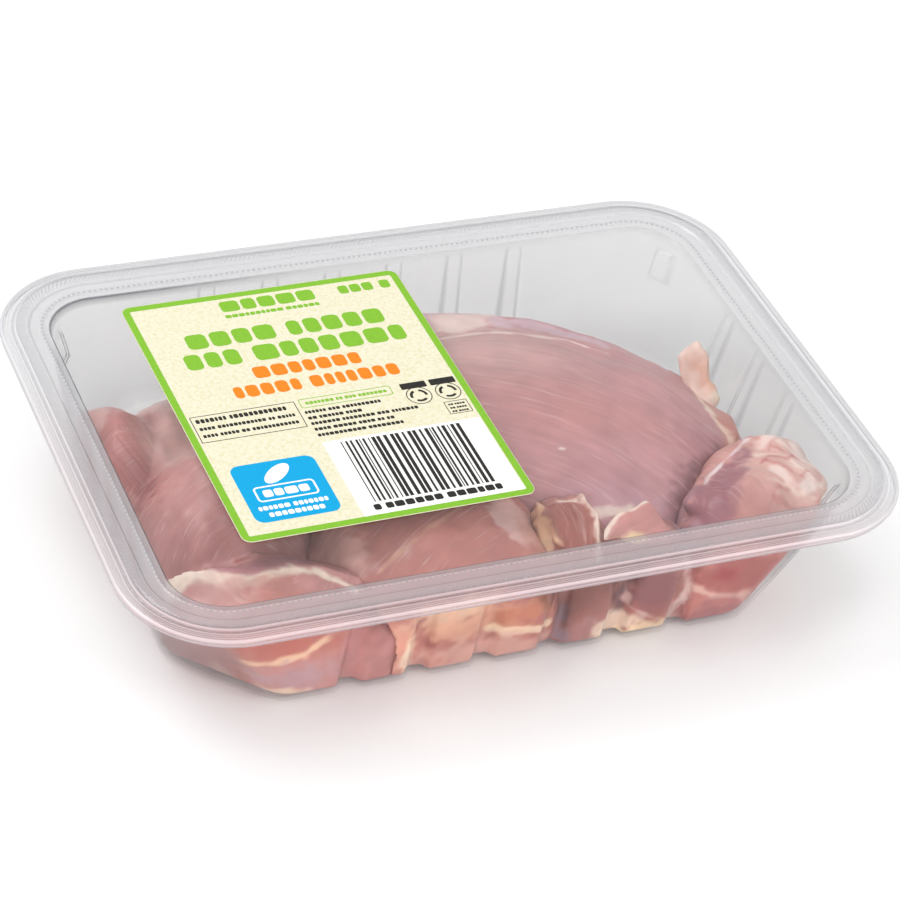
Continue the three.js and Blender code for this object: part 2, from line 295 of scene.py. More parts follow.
def tray_rows():
    """Every loop's height, outward push, whether it is fluted, its milk_and_highlight and its painted
    shade.

    They run up the outside, over the flange, and down the inside. The flange is
    stretched white, most of all along its ridges, which also carry painted highlight, and
    painted shade darkens its tightest bends.
    """
    edge = []
    for step in np.linspace(0.0, 1.0, 7):
        angle = step * math.pi / 2
        edge.append((BASE_EDGE * (1 - math.cos(angle)), -BASE_EDGE * (1 - math.sin(angle))))
    wall = [7, 10, 13, 16, 19, 22, 24.5, *LUG_ROWS, 35.5]
    rows = [(height, WALL + push, True, CLEAR, 0.0) for height, push in edge]
    rows += [(height, WALL, True, CLEAR, 0.0) for height in wall]
    rows += [(36.4, WALL + 0.1, False, 0.02, 0.0), (36.9, WALL + 0.6, False, 0.05, 0.0)]
    rows += [(37.2, WALL + 1.6, False, 0.1, 0.0), (37.35, 4.0, False, 0.1, 0.0)]
    flange = [
        (11.6, 37.4, 0.12, 0), (12.0, 37.3, 0.2, 0.2), (12.2, 37.0, 0.3, 0),
        (12.28, 36.7, 0.5, 0), (12.4, 36.48, 0.65, 0), (12.6, 36.42, 0.7, 0),
        (12.82, 36.46, 0.5, 0), (12.95, 36.65, 0.25, 0.2), (13.0, 37.0, 0.2, 0.35),
        (13.0, 37.4, 0.5, 0), (13.0, 37.7, 0.15, 0.1), (12.9, 38.0, 0.4, 0), (12.7, 38.3, 0.7, 0),
        (12.4, 38.5, 0.75, 0), (12.05, 38.6, 0.2, 0.05), (11.8, 38.66, 0.55, 0),
        (11.5, 38.62, 0.2, 0.1), (11.2, 38.66, 0.5, 0),
        (10.9, 38.62, 0.2, 0.1), (10.6, 38.6, 0.45, 0), (10.2, 38.45, 0.7, 0),
        (9.85, 38.3, 0.25, 0.25), (9.5, 38.4, 0.2, 0.25), (9.2, 38.7, 0.5, 0), (9.0, 38.92, 0.65, 0),
        (8.8, 39.0, 0.45, 0), (7.4, 39.0, 0.4, 0), (6.1, 39.0, 0.42, 0),
        (5.85, 38.92, 0.6, 0), (5.65, 38.65, 0.6, 0), (5.4, 38.45, 0.2, 0.35),
        (5.0, 38.38, 0.4, 0), (3.8, 38.36, 0.42, 0), (2.8, 38.36, 0.42, 0),
        (2.6, 38.5, 0.55, 0), (2.4, 38.56, 0.6, 0), (2.2, 38.5, 0.5, 0),
        (2.0, 38.34, 0.3, 0.2), (1.2, 38.28, 0.32, 0), (0.6, 38.18, 0.36, 0),
        (0.36, 38.06, 0.12, 0.7), (0.2, 37.96, 0.05, 1.0), (0.06, 37.8, 0.02, 1.0),
        (0.0, 37.5, 0.02, 0.6),
    ]
    rows += [(height, outwards, False, milk_and_highlight, shade) for outwards, height, milk_and_highlight, shade in flange]
    rows += [(height, 0.0, True, CLEAR, 0.0) for height in reversed(wall)]
    rows += [(WALL + height, push, True, CLEAR, 0.0) for height, push in reversed(edge)]
    return rows


loops = []
milk_and_highlight_values = []
shadiness = []
for height, outwards, fluted, milk_and_highlight, shade in tray_rows():
    loop, near_edge = tray_loop(height, outwards, fluted)
    loops.append(loop)
    milk_and_highlight_values += [milk_and_highlight] * len(loop)
    # Painted shade of the bends is full at the front and left and faded at the back and right, and
    # painted shade lines run along flute and lug edges.
    nearer = smoothstep(*NEAR_FADE, loop[:, 0] + loop[:, 1])
    flutes = FLUTE_SHADE * near_edge * smoothstep(*FLUTE_FADE, height)
    shadiness += (shade * lerp(BACK_SHADE, 1.0, nearer) + flutes).tolist()
tray_points = np.concatenate(loops)
tray_plastic = clear_sheet("clear rPET sheet", "#f0f0f0", "#d0d0d4", 0.5)
tray = mesh_object("tray_shell", tray_points, loft_faces(len(loops), len(loops[0])), [tray_plastic])
point_values(tray, "milk_and_highlight", milk_and_highlight_values)
point_values(tray, "shade", shadiness)


def painted_meat_light_at(points):
    """Painted light: how pink the meat's light is painted onto the flange, most along the front, where
    it is close.
    """
    front = smoothstep(-35.0, -62.0, points[:, 1]) * smoothstep(105.0, 60.0, points[:, 0])
    left = 0.45 * smoothstep(-88.0, -96.0, points[:, 0]) * smoothstep(40.0, 0.0, points[:, 1])
    return np.maximum(front, left)


# Painted light from the meat, fixed on the front and left of the flange.
point_values(tray, "painted_meat_light", painted_meat_light_at(tray_points))
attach(tray, "root")
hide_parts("tray")

# Lidding film: thin clear film, heat sealed to the land of the flange by a hatched
# sealing head. It lies almost flat, a little slack over the fillets.
FILM = 0.08
SEAL_HEIGHT = 39.0
SEAL_TO = 8.9
FILM_LIFT = 0.05
FILM_SAG = 1.2
SAG_POWERS = (1.3, 10)
FILM_SLACK = 0.07
SLACK_FROM_EDGE = 14.0
SLACK_PITCH = 34.0
CORNER_EASE = 12.0
CORNER_SHARE = 0.6


def film_sag(x, y):
    """How far the film hangs, most of all towards the front right."""
    def dip(share):
        share = np.clip(share, 0.0, 1.0)
        return share ** SAG_POWERS[0] * (1 - share ** SAG_POWERS[1])
    across = dip((x + MOUTH_HALF[0]) / (2 * MOUTH_HALF[0]))
    across = across * dip((MOUTH_HALF[1] - y) / (2 * MOUTH_HALF[1]))
    corner_sum = sum(MOUTH_HALF) - MOUTH_CORNER * CORNER_SHARE
    ease = np.clip((corner_sum - np.abs(x) - np.abs(y)) / CORNER_EASE, 0.0, 1.0)
    return FILM_SAG * across * ease


def film_underside(x, y):
    return SEAL_HEIGHT + FILM_LIFT - film_sag(x, y)


def ripples(points, pitch, seed, waves=10):
    """Smooth seeded bumps about one high, their usual spacing given in millimetres."""
    random = np.random.default_rng(seed)
    total = np.zeros(points.shape[:-1])
    for _ in range(waves):
        heading = random.normal(size=points.shape[-1])
        heading *= 2 * math.pi / (pitch * random.uniform(0.7, 1.5) * np.linalg.norm(heading))
        total += np.sin(points @ heading + random.uniform(0, 2 * math.pi))
    return total / math.sqrt(waves / 2)


def rounded_outline(half_x, half_y, corner, side_steps, corner_steps):
    """A rectangle with round corners, counter-clockwise."""
    outline = []
    for side in range(4):
        long_side = side % 2 == 0
        end = (half_x if long_side else half_y) - corner
        reach = half_y if long_side else half_x
        along = [lerp(-end, end, i / side_steps) for i in range(side_steps)]
        away = [reach] * side_steps
        for i in range(corner_steps):
            angle = i / corner_steps * math.pi / 2
            along.append(end + corner * math.sin(angle))
            away.append(reach - corner * (1 - math.cos(angle)))
        outline.append(turned_side(side, np.array(along), np.array(away)))
    return np.concatenate(outline)


def draped_sheet(name, outlines, underside, thickness, materials):
    """A thin closed sheet over outlines that run outwards from its middle."""
    below = [np.column_stack([o, underside(o[:, 0], o[:, 1])]) for o in outlines]
    above = [row + np.array([0.0, 0.0, thickness]) for row in reversed(below)]
    rows = below + above
    return mesh_object(name, np.concatenate(rows), loft_faces(len(rows), len(rows[0])), materials)


mouth = rounded_outline(*MOUTH_HALF, MOUTH_CORNER, 60, 14)
seal = rounded_outline(*[half + SEAL_TO for half in MOUTH_HALF], MOUTH_CORNER + SEAL_TO, 60, 14)
outlines = [mouth * scale for scale in np.linspace(0.02, 1.0, 48)]
outlines += [lerp(mouth, seal, share) for share in (0.3, 0.62, 0.65, 0.8, 1.0)]


def slack_film(x, y):
    """The film's underside with faint slack ripples that die out at the seal."""
    from_edge = np.minimum(MOUTH_HALF[0] - np.abs(x), MOUTH_HALF[1] - np.abs(y))
    inside = smoothstep(0.0, SLACK_FROM_EDGE, from_edge)
    waves = ripples(np.stack([x, y], axis=-1), SLACK_PITCH, 5)
    return film_underside(x, y) + FILM_SLACK * inside * waves


film_plastic = clear_sheet("clear lidding film", "#fdfdfd", "#e4e4e8", 0.5)
film = draped_sheet("lidding_film", outlines, slack_film, FILM, [film_plastic])
plain_values(film, CLEAR)
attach(film, "root")
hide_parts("film")

# Pressed marks of the flange: a row of small round beads inside the seal, and slanted
# strokes left by the sealing head on its land. Nodes set them along each outline, which
# has its distance outside the mouth and its height.
BEAD_LINE = (2.4, 38.56)
STROKE_LINE = (7.45, 39.0)
# The marks are whitened, with painted highlight, as the flange's ridges are.
MARK_MILK_AND_HIGHLIGHT = 0.4


def marks_along(name, outwards, height, size, spacing, turn):
    """Small flat ellipsoids spaced along the flange, as one plain mesh."""
    corner = MOUTH_CORNER + outwards
    outline = rounded_outline(*[half + outwards for half in MOUTH_HALF], corner, 40, 14)
    points = np.column_stack([outline, np.full(len(outline), height)])
    piece = mesh_object(name, points, [tuple(range(len(points)))])
    tree = bpy.data.node_groups.new(name, "GeometryNodeTree")
    tree.interface.new_socket("Geometry", in_out="INPUT", socket_type="NodeSocketGeometry")
    tree.interface.new_socket("Geometry", in_out="OUTPUT", socket_type="NodeSocketGeometry")
    wanted = {"Spacing": spacing * MM, "Turn": math.radians(turn)}
    wanted |= {axis: extent * MM for axis, extent in zip(("Length", "Width", "Height"), size)}
    sockets = {}
    for key in wanted:
        sockets[key] = tree.interface.new_socket(key, in_out="INPUT", socket_type="NodeSocketFloat")
    given = node(tree, "NodeGroupInput").outputs
    path = node(tree, "GeometryNodeMeshToCurve", Mesh=given["Geometry"])
    steps = node(
        tree, "GeometryNodeResampleCurve", {"mode": "LENGTH"},
        Curve=path.outputs[0], Length=given["Spacing"],
    )
    mark = node(tree, "GeometryNodeMeshUVSphere", Segments=8, Rings=5, Radius=0.5)
    extent = node(
        tree, "ShaderNodeCombineXYZ", X=given["Length"], Y=given["Width"], Z=given["Height"]
    )
    tangent = node(tree, "GeometryNodeInputTangent")
    along = node(
        tree, "FunctionNodeAlignRotationToVector", {"axis": "X", "pivot_axis": "Z"},
        Vector=tangent.outputs[0],
    )
    slant = node(tree, "FunctionNodeAxisAngleToRotation", Axis=(0.0, 0.0, 1.0), Angle=given["Turn"])
    heading = node(
        tree, "FunctionNodeRotateRotation", {"rotation_space": "LOCAL"},
        i0=along.outputs[0], i1=slant.outputs[0],
    )
    spread = node(
        tree, "GeometryNodeInstanceOnPoints", Points=steps.outputs[0],
        Instance=mark.outputs["Mesh"], Rotation=heading.outputs[0], Scale=extent.outputs[0],
    )
    joined = node(tree, "GeometryNodeRealizeInstances", Geometry=spread.outputs[0])
    dressed = node(
        tree, "GeometryNodeSetMaterial", Geometry=joined.outputs[0], Material=tray_plastic
    )
    node(tree, "NodeGroupOutput", Geometry=dressed.outputs[0])
    modifier = piece.modifiers.new(name, "NODES")
    modifier.node_group = tree
    for key, value in wanted.items():
        modifier[sockets[key].identifier] = value
    posed = piece.evaluated_get(bpy.context.evaluated_depsgraph_get())
    plain = bpy.data.meshes.new_from_object(posed)
    piece.modifiers.remove(modifier)
    piece.data = plain
    plain.polygons.foreach_set("use_smooth", [True] * len(plain.polygons))
    plain_values(piece, MARK_MILK_AND_HIGHLIGHT)
    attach(piece, "root")


marks_along("flange_beads", *BEAD_LINE, (0.75, 0.75, 0.3), 1.5, 0)
marks_along("seal_strokes", *STROKE_LINE, (3.4, 0.35, 0.08), 1.3, 50)

# Paper label: cream speckled stock, stuck on the film, with a green printed border and
# blocks of ink. Its lines of print are rows of small blank blocks.
LABEL_SIZE = (76.6, 94.0)
LABEL_CENTRE = (-31.7, 5.9)
LABEL_TURN = math.radians(0.9)
LABEL_CORNER = 2.5
LABEL_LIFT = 0.3
PAPER = 0.12
INK = 0.03
WIDE_INK = 4.0
SPECK_PITCH = 0.9


def printed_paper(name, base, speck, contrast):
    """Uncoated printed paper: matt, with fine specks."""
    material, tree = new_material(name)
    place = node(tree, "ShaderNodeTexCoord").outputs["Object"]
    specks = node(
        tree, "ShaderNodeTexNoise",
        Vector=place, Scale=1 / (SPECK_PITCH * MM), Detail=4.0, Roughness=0.7,
    ).outputs["Fac"]
    colour = mixed(tree, ranged(tree, specks, (0.45, 0.68), (0.0, contrast)), rgba(base), rgba(speck))
    bump = node(tree, "ShaderNodeBump", Height=specks, Strength=0.5, Distance=0.02 * MM)
    paper = node(
        tree, "ShaderNodeBsdfPrincipled",
        Base_Color=colour, Roughness=0.7, IOR=1.25, Normal=bump.outputs["Normal"],
    )
    node(tree, "ShaderNodeOutputMaterial", Surface=paper.outputs[0])
    return material


def on_label(outline):
    """Label places, from its middle, to places on the pack."""
    x = outline[:, 0] * math.cos(LABEL_TURN) - outline[:, 1] * math.sin(LABEL_TURN)
    y = outline[:, 0] * math.sin(LABEL_TURN) + outline[:, 1] * math.cos(LABEL_TURN)
    return np.stack([x + LABEL_CENTRE[0], y + LABEL_CENTRE[1]], axis=1)


def label_underside(x, y):
    return film_underside(x, y) + LABEL_LIFT


cream_paper = printed_paper("cream speckled label paper", "#e1dcc5", "#ccc493", 0.65)
half_label = [size / 2 for size in LABEL_SIZE]
edge = rounded_outline(*half_label, LABEL_CORNER, 24, 6)
label = draped_sheet(
    "label_paper", [on_label(edge * s) for s in np.linspace(0.02, 1.0, 24)], label_underside, PAPER,
    [cream_paper],
)
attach(label, "root")
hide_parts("label")

print_points = []
print_faces = []
print_inks = []
INKS = {
    "green ink": ("#80b636", "#72a62c"),
    "orange ink": ("#f08223", "#e0731b"),
    "black ink": ("#2a2826", "#3a3835"),
    "blue ink": ("#0a9fd4", "#0893c8"),
    "white ink": ("#f0f0ee", "#e8e8e2"),
}
ink_names = list(INKS)


def ink_shape(ink, outline, level=1, inner=None):
    """One flat printed shape, laid on the label. Places run from its top left corner.

    A wide shape gets rings of smaller faces, so that it follows the label's curve.
    """
    outline = np.asarray(outline, dtype=float)
    centre = (outline.min(axis=0) + outline.max(axis=0)) / 2
    wide = min(np.ptp(outline, axis=0)) > WIDE_INK
    scales = (1.0, 0.75, 0.5, 0.25) if wide and inner is None else (1.0,)
    rings = [centre + (outline - centre) * scale for scale in scales]
    if inner is not None:
        rings.append(np.asarray(inner, dtype=float))
    start = len(print_points)
    for ring in rings:
        flat = np.stack([ring[:, 0] - half_label[0], half_label[1] - ring[:, 1]], axis=1)
        flat = on_label(flat)
        top = label_underside(flat[:, 0], flat[:, 1]) + PAPER + INK * level * 0.5
        print_points.extend(np.column_stack([flat, top]).tolist())
    size = len(outline)
    faces = []
    for ring in range(len(rings) - 1):
        for i in range(size):
            low = start + ring * size + i
            after = start + ring * size + (i + 1) % size
            faces.append((low, low + size, after + size, after))
    if inner is None:
        last = start + (len(rings) - 1) * size
        faces.append(tuple(range(last + size - 1, last - 1, -1)))
    print_faces.extend(faces)
    print_inks.extend([ink_names.index(ink)] * len(faces))


def box_outline(left, top, right, bottom, corner, side_steps, bend_steps):
    shape = rounded_outline((right - left) / 2, (bottom - top) / 2, corner, side_steps, bend_steps)
    return shape + np.array([(left + right) / 2, (top + bottom) / 2])


def ink_box(ink, left, top, right, bottom, corner=0.4, level=1, line=None):
    """A rounded box of ink, or only its outline in a given line width."""
    side_steps = math.ceil(max(right - left, bottom - top) / 6)
    bend_steps = 2 if corner < 0.5 else 4
    corner = min(corner, 0.49 * min(right - left, bottom - top))
    outline = box_outline(left, top, right, bottom, corner, side_steps, bend_steps)
    inner = None
    if line:
        inner = box_outline(
            left + line, top + line, right - line, bottom - line, max(corner - line, 0.05),
            side_steps, bend_steps,
        )
    ink_shape(ink, outline, level, inner)


# Gaps and corners of the blocks, as shares of their height.
LETTER_GAP = 0.16
WORD_GAP = 0.6
LETTER_CORNER = 0.25
letter_random = np.random.default_rng(9)


def ink_words(ink, left, right, top, bottom, words, level=1):
    """A line of print as small blank blocks, about as many in each word as it shows."""
    height = bottom - top
    widths = letter_random.uniform(0.75, 1.25, sum(words))
    between = np.full(sum(words), LETTER_GAP * height)
    between[np.cumsum(words) - 1] = WORD_GAP * height
    share = (right - left - between[:-1].sum()) / widths.sum()
    start = left
    for width, gap in zip(widths * share, between):
        ink_box(ink, start, top, start + width, bottom, LETTER_CORNER * height, level)
        start += width + gap


ink_box("green ink", 0.15, 0.15, LABEL_SIZE[0] - 0.15, LABEL_SIZE[1] - 0.15, 2.3, line=1.9)
ink_words("green ink", 25.5, 51.5, 3.2, 7.6, [5])
ink_words("green ink", 25.5, 51.5, 8.9, 10.2, [10, 6])
ink_words("green ink", 58.5, 73.0, 3.6, 7.0, [3, 1])
ink_words("green ink", 12.0, 66.0, 14.8, 20.8, [4, 5])
ink_words("green ink", 9.0, 69.0, 22.6, 28.8, [3, 7])
ink_words("orange ink", 24.5, 53.5, 31.0, 35.6, [7])
ink_words("orange ink", 17.0, 61.5, 37.6, 42.2, [5, 7])

ink_box("black ink", 2.7, 46.4, 30.4, 56.6, 0.3, line=0.22)
ink_words("black ink", 3.8, 27.6, 47.6, 49.2, [7, 12])
ink_words("black ink", 3.8, 28.9, 50.8, 52.0, [4, 12, 2, 5])
ink_words("black ink", 3.8, 28.9, 53.6, 54.8, [4, 5, 2, 12])
ink_box("green ink", 31.5, 46.0, 56.4, 49.6, 0.8, line=0.22)
ink_words("green ink", 33.0, 55.0, 47.3, 48.4, [7, 2, 3, 7])
small_lines = [
    (50.7, 52.0, [6, 3, 10]), (53.0, 46.0, [2, 6, 4]), (55.2, 60.4, [7, 8, 3, 7]),
    (57.5, 53.0, [4, 5, 4, 2, 2]), (59.8, 54.6, [11, 8]),
]
for top, right, words in small_lines:
    ink_words("black ink", 31.6, right, top, top + 1.15, words)


# The two small disposal marks: a header block over a ring of three short arcs.
def ink_ring(ink, middle, radius, width, first, last, level=1):
    angles = np.radians(np.linspace(first, last, 14))
    turned = np.stack([np.cos(angles), np.sin(angles)], axis=1)
    outer = np.array(middle) + radius * turned
    inner = np.array(middle) + (radius - width) * turned
    ink_shape(ink, np.concatenate([outer, inner[::-1]])[::-1], level)


for left, right in ((59.0, 66.0), (67.0, 74.0)):
    centre = ((left + right) / 2, 51.6)
    ink_box("black ink", left, 46.2, right, 48.6, 0.3)
    ink_ring("black ink", centre, 3.4, 0.25, 0, 180)
    ink_ring("black ink", centre, 3.4, 0.25, 180, 360)
    for turn in (90, 210, 330):
        ink_ring("black ink", centre, 2.4, 0.75, turn - 45, turn + 35)
ink_box("black ink", 67.4, 55.6, 73.7, 60.6, 0.3, line=0.2)
for top in (56.5, 57.9, 59.3):
    ink_words("black ink", 68.3, 72.8, top, top + 0.7, [2, 4])

# A blue badge: a plain white leaf over rows of blank blocks.
ink_box("blue ink", 5.5, 66.8, 27.5, 88.2, 2.5)
leaf_angle = np.linspace(0.0, math.pi, 13)
leaf_side = np.stack([4.6 * np.cos(leaf_angle), 2.1 * np.sin(leaf_angle)], axis=1)
leaf = np.concatenate([leaf_side, -leaf_side[1:-1]])
tilt = math.radians(-38)
leaf = leaf @ np.array([[math.cos(tilt), math.sin(tilt)], [-math.sin(tilt), math.cos(tilt)]])
ink_shape("white ink", (leaf + np.array([16.5, 71.6]))[::-1], level=2)
ink_box("white ink", 8.6, 75.4, 24.4, 81.0, 1.2, level=2, line=0.5)
ink_words("white ink", 10.6, 22.4, 76.9, 79.5, [4], level=2)
ink_words("white ink", 7.6, 25.4, 82.5, 84.0, [6, 7], level=2)
ink_words("white ink", 9.4, 23.6, 85.0, 86.6, [9], level=2)

# A white panel with upright bars of seeded widths.
ink_box("white ink", 31.5, 63.2, 74.2, 92.0, 0.3)
BAR_WIDTHS = [0.3, 0.6, 0.95]
BAR_GAPS = [0.35, 0.6, 0.9]
BARS_FROM, BARS_TO = 36.0, 67.8
BARS_TOP, BARS_BOTTOM = 64.2, 87.4
bar_random = np.random.default_rng(21)
bar = BARS_FROM
while bar < BARS_TO:
    width = bar_random.choice(BAR_WIDTHS)
    ink_box("black ink", bar, BARS_TOP, bar + width, BARS_BOTTOM, 0.03, level=2)
    bar += width + bar_random.choice(BAR_GAPS)
ink_words("black ink", 35.0, 69.0, 88.3, 90.4, [1, 6, 6], level=2)

ink_materials = [printed_paper(name, *INKS[name], 0.5) for name in ink_names]
label_print = mesh_object(
    "label_print", print_points, print_faces, ink_materials, print_inks, smooth=False
)
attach(label_print, "root")

# Corner fillet: raw thigh muscle folded over itself, marbled with fat, pushed into the
# front right corner and along the front wall. Cold wet meat, trimmed by knife.
FACE_STEPS = 110
MEAT_GAP = 0.2
ROOM_CORNER = 3.0
ROOM_EDGE = 3.0
ROOM_LID = 4.0
PRESSED_EDGE = 1.6
LUG_OUT = (0.876, 0.482)
LUG_FACE = 97.2
LUG_LEAN = 0.33
LUG_ALONG = 3.1
LUG_HALF_WIDTH = 4.3
LUG_BLEND = 1.0
NEIGHBOUR_GAP = -1.2
NEIGHBOUR_BLEND = 2.4
LOBE_DROP = 0.35
LUMP_PITCH = 15.0
FINE_LUMP_PITCH = 6.0
FINE_LUMPS = 0.3
RAY_REACH = 120.0
HALVINGS = 8
FAR_AWAY = 1e9
BLOTCH_PITCH = 9.0


def smooth_min(a, b, k):
    """The smaller of two distances, blended where they differ by less than k."""
    h = np.maximum(k - np.abs(a - b), 0.0) / k
    return np.minimum(a, b) - h * h * k / 4


def smooth_max(a, b, k):
    return -smooth_min(-a, -b, k)


def turned_offset(points, at, turn):
    """Places seen from a middle, turned about Z by an angle in degrees."""
    x, y, z = (points - np.array(at, dtype=float)).T
    angle = math.radians(turn)
    along = x * math.cos(angle) + y * math.sin(angle)
    across = y * math.cos(angle) - x * math.sin(angle)
    return along, across, z


def lobe_distance(points, at, half, turn):
    """Rough distance to a rounded lobe, whose side drops steeply below its middle."""
    along, across, up = turned_offset(points, at, turn)
    up = np.where(up < 0, up * LOBE_DROP, up)
    local = np.stack([along, across, up], axis=1)
    near = np.linalg.norm(local / half, axis=1)
    far = np.linalg.norm(local / np.square(half), axis=1)
    return near * (near - 1) / np.maximum(far, 1e-6)


def strand_distance(points, path, radius):
    """Distance to a round strand along a path, its radius given at each point."""
    path = np.array(path, dtype=float)
    radius = np.broadcast_to(np.array(radius, dtype=float), len(path))
    best = np.full(len(points), FAR_AWAY)
    for a, b, ra, rb in zip(path[:-1], path[1:], radius[:-1], radius[1:]):
        span = b - a
        share = np.clip((points - a) @ span / (span @ span), 0.0, 1.0)
        gap = np.linalg.norm(points - a - share[:, None] * span, axis=1)
        best = np.minimum(best, gap - lerp(ra, rb, share))
    return best


def room_distance(points):
    """Distance to the room inside the closed tray: below zero inside it.

    The four lugs near its corners are cut out of it. Each has a face that points outwards
    along LUG_OUT and leans with the wall.
    """
    x, y, z = points.T
    share = np.clip(z / RIM_HEIGHT, 0.0, 1.0)
    half_x = lerp(BASE_HALF[0], MOUTH_HALF[0], share) - MEAT_GAP
    half_y = lerp(BASE_HALF[1], MOUTH_HALF[1], share) - MEAT_GAP
    side_x = np.abs(x) - half_x + flute_depth(y, FLUTE_COUNT[1], z)
    side_y = np.abs(y) - half_y + flute_depth(x, FLUTE_COUNT[0], z)
    chamfer = half_x + half_y - lerp(BASE_CHAMFER, MOUTH_CORNER * CORNER_SHARE, share)
    corner = (np.abs(x) + np.abs(y) - chamfer) / math.sqrt(2)
    walls = smooth_max(np.maximum(side_x, side_y), corner, ROOM_CORNER)
    walls = smooth_max(walls, WALL + MEAT_GAP - z, ROOM_EDGE)
    lug_out = np.abs(x) * LUG_OUT[0] + np.abs(y) * LUG_OUT[1]
    lug_along = np.abs(y) * LUG_OUT[0] - np.abs(x) * LUG_OUT[1]
    lug = lug_out - LUG_FACE - LUG_LEAN * (z - LUG_HEIGHTS[0])
    lug = np.minimum(lug, LUG_HALF_WIDTH - np.abs(lug_along - LUG_ALONG))
    lug = np.minimum(lug, np.minimum(z - LUG_HEIGHTS[0], LUG_HEIGHTS[1] - z))
    walls = smooth_max(walls, lug, LUG_BLEND)
    lid = z - film_underside(x, y) + MEAT_GAP
    return smooth_max(walls, lid, ROOM_LID)


def fillet_distance(points, fillet):
    """Distance to a fillet: its lobes, strands and creases, cut by the tray and neighbours."""
    lobes = [lobe_distance(points, *lobe) for lobe in fillet["lobes"]]
    body = lobes[0]
    for lobe in lobes[1:]:
        body = smooth_min(body, lobe, fillet["blend"])
    lumps, seed = fillet["lumps"], fillet["seed"]
    body = body + lumps * ripples(points, LUMP_PITCH, seed)
    body = body + FINE_LUMPS * lumps * ripples(points, FINE_LUMP_PITCH, seed + 1)
    for path, radius, soft in fillet["strands"]:
        body = smooth_min(body, strand_distance(points, path, radius), soft)
    for path, radius, soft in fillet["creases"]:
        body = smooth_max(body, -strand_distance(points, path, radius), soft)
    distance = smooth_max(body, room_distance(points), PRESSED_EDGE)
    for other in fillet["against"]:
        apart = NEIGHBOUR_GAP - fillet_distance(points, other)
        distance = smooth_max(distance, apart, NEIGHBOUR_BLEND)
    return distance


def sphere_directions(steps):
    """Directions and faces of a cube blown up into a ball, with its seams closed."""
    ticks = np.tan(np.linspace(-1, 1, steps + 1) * math.pi / 4)
    u, v = np.meshgrid(ticks, ticks, indexing="ij")
    one = np.ones_like(u)
    sides = [(one, u, v), (-one, -u, v), (-u, one, v), (u, -one, v), (-v, u, one), (v, u, -one)]
    directions = []
    faces = []
    row, column = np.meshgrid(np.arange(steps), np.arange(steps), indexing="ij")
    for number, side in enumerate(sides):
        ray = np.stack(side, axis=-1)
        directions.append((ray / np.linalg.norm(ray, axis=-1, keepdims=True)).reshape(-1, 3))
        first = number * (steps + 1) ** 2 + row * (steps + 1) + column
        faces.append(np.stack([first, first + steps + 1, first + steps + 2, first + 1], axis=-1))
    directions = np.concatenate(directions)
    faces = np.concatenate([side.reshape(-1, 4) for side in faces])
    _, kept, renumbered = np.unique(
        np.round(directions, 6), axis=0, return_index=True, return_inverse=True
    )
    return directions[kept], renumbered.reshape(-1)[faces]


def fillet_surface(fillet):
    """The fillet's skin, found along rays from its heart."""
    heart = np.array(fillet["heart"], dtype=float)
    rays, faces = sphere_directions(FACE_STEPS)
    inside = np.zeros(len(rays))
    alive = np.arange(len(rays))
    for reach in np.arange(1.0, RAY_REACH):
        hit = fillet_distance(heart + rays[alive] * reach, fillet) < 0
        alive = alive[hit]
        if not alive.size:
            break
        inside[alive] = reach
    outside = inside + 1
    for _ in range(HALVINGS):
        middle = (inside + outside) / 2
        hit = fillet_distance(heart + rays * middle[:, None], fillet) < 0
        inside = np.where(hit, middle, inside)
        outside = np.where(hit, outside, middle)
    return heart + rays * inside[:, None], faces


# The ripples of a patch's edge, how much deeper pressed meat is in colour, and the spans
# over which the top turns into the front wall, in y and in z, and the left, in x and in z.
RAGGED = ((0.45, 7.0, 77), (0.25, 2.6, 78))
PRESSED_DEPTH = 1.4
FRONT_TURN = ((-52.0, -56.0), (31.0, 27.0))
LEFT_TURN = ((-70.0, -78.0), (26.0, 20.0))


def paint(points, flesh, patches):
    """Blends patches of colour over the flesh, each with a soft ragged edge. Most are the meat's
    own colours; some are painted shade in creases and crevices, and some painted light
    and painted highlight.

    Meat pressed wet against the front wall looks deeper in colour.

    A patch is its colour, strength and softness, the side it is on, then a path with
    widths or a blob's middle, half sizes and turn. Places on the top are x and y, and
    places on the front wall are x and z. The left wall stays plain.
    """
    colour = np.tile(linear(flesh), (len(points), 1))
    ragged = sum(height * ripples(points, pitch, seed) for height, pitch, seed in RAGGED)
    x, y, z = points.T
    on_front = smoothstep(*FRONT_TURN[0], y) * smoothstep(*FRONT_TURN[1], z)
    on_left = smoothstep(*LEFT_TURN[0], x) * smoothstep(*LEFT_TURN[1], z)
    on_top = (1 - on_front) * (1 - on_left)
    for tint, strength, soft, side, *shape in patches:
        front = side == "front"
        flat = points[:, [0, 2, 1]] if front else points
        flat = flat * np.array([1.0, 1.0, 0.0])
        if len(shape) == 2:
            path = [(*place, 0.0) for place in shape[0]]
            distance = strand_distance(flat, path, shape[1])
        else:
            at, half, turn = shape
            along, across, _ = turned_offset(flat, (*at, 0.0), turn)
            distance = (np.hypot(along / half[0], across / half[1]) - 1) * min(half)
        cover = strength * (1 - smoothstep(-soft, soft, distance + ragged * min(soft, 2.0)))
        cover = cover * (on_front if front else on_top)
        colour = lerp(colour, np.array(linear(tint)), cover[:, None])
    return lerp(colour, colour ** PRESSED_DEPTH, on_front[:, None])


def on_side(side, patches):
    """Patches that all lie on one side of the meat, written without its name."""
    return [(*patch[:3], side, *patch[3:]) for patch in patches]


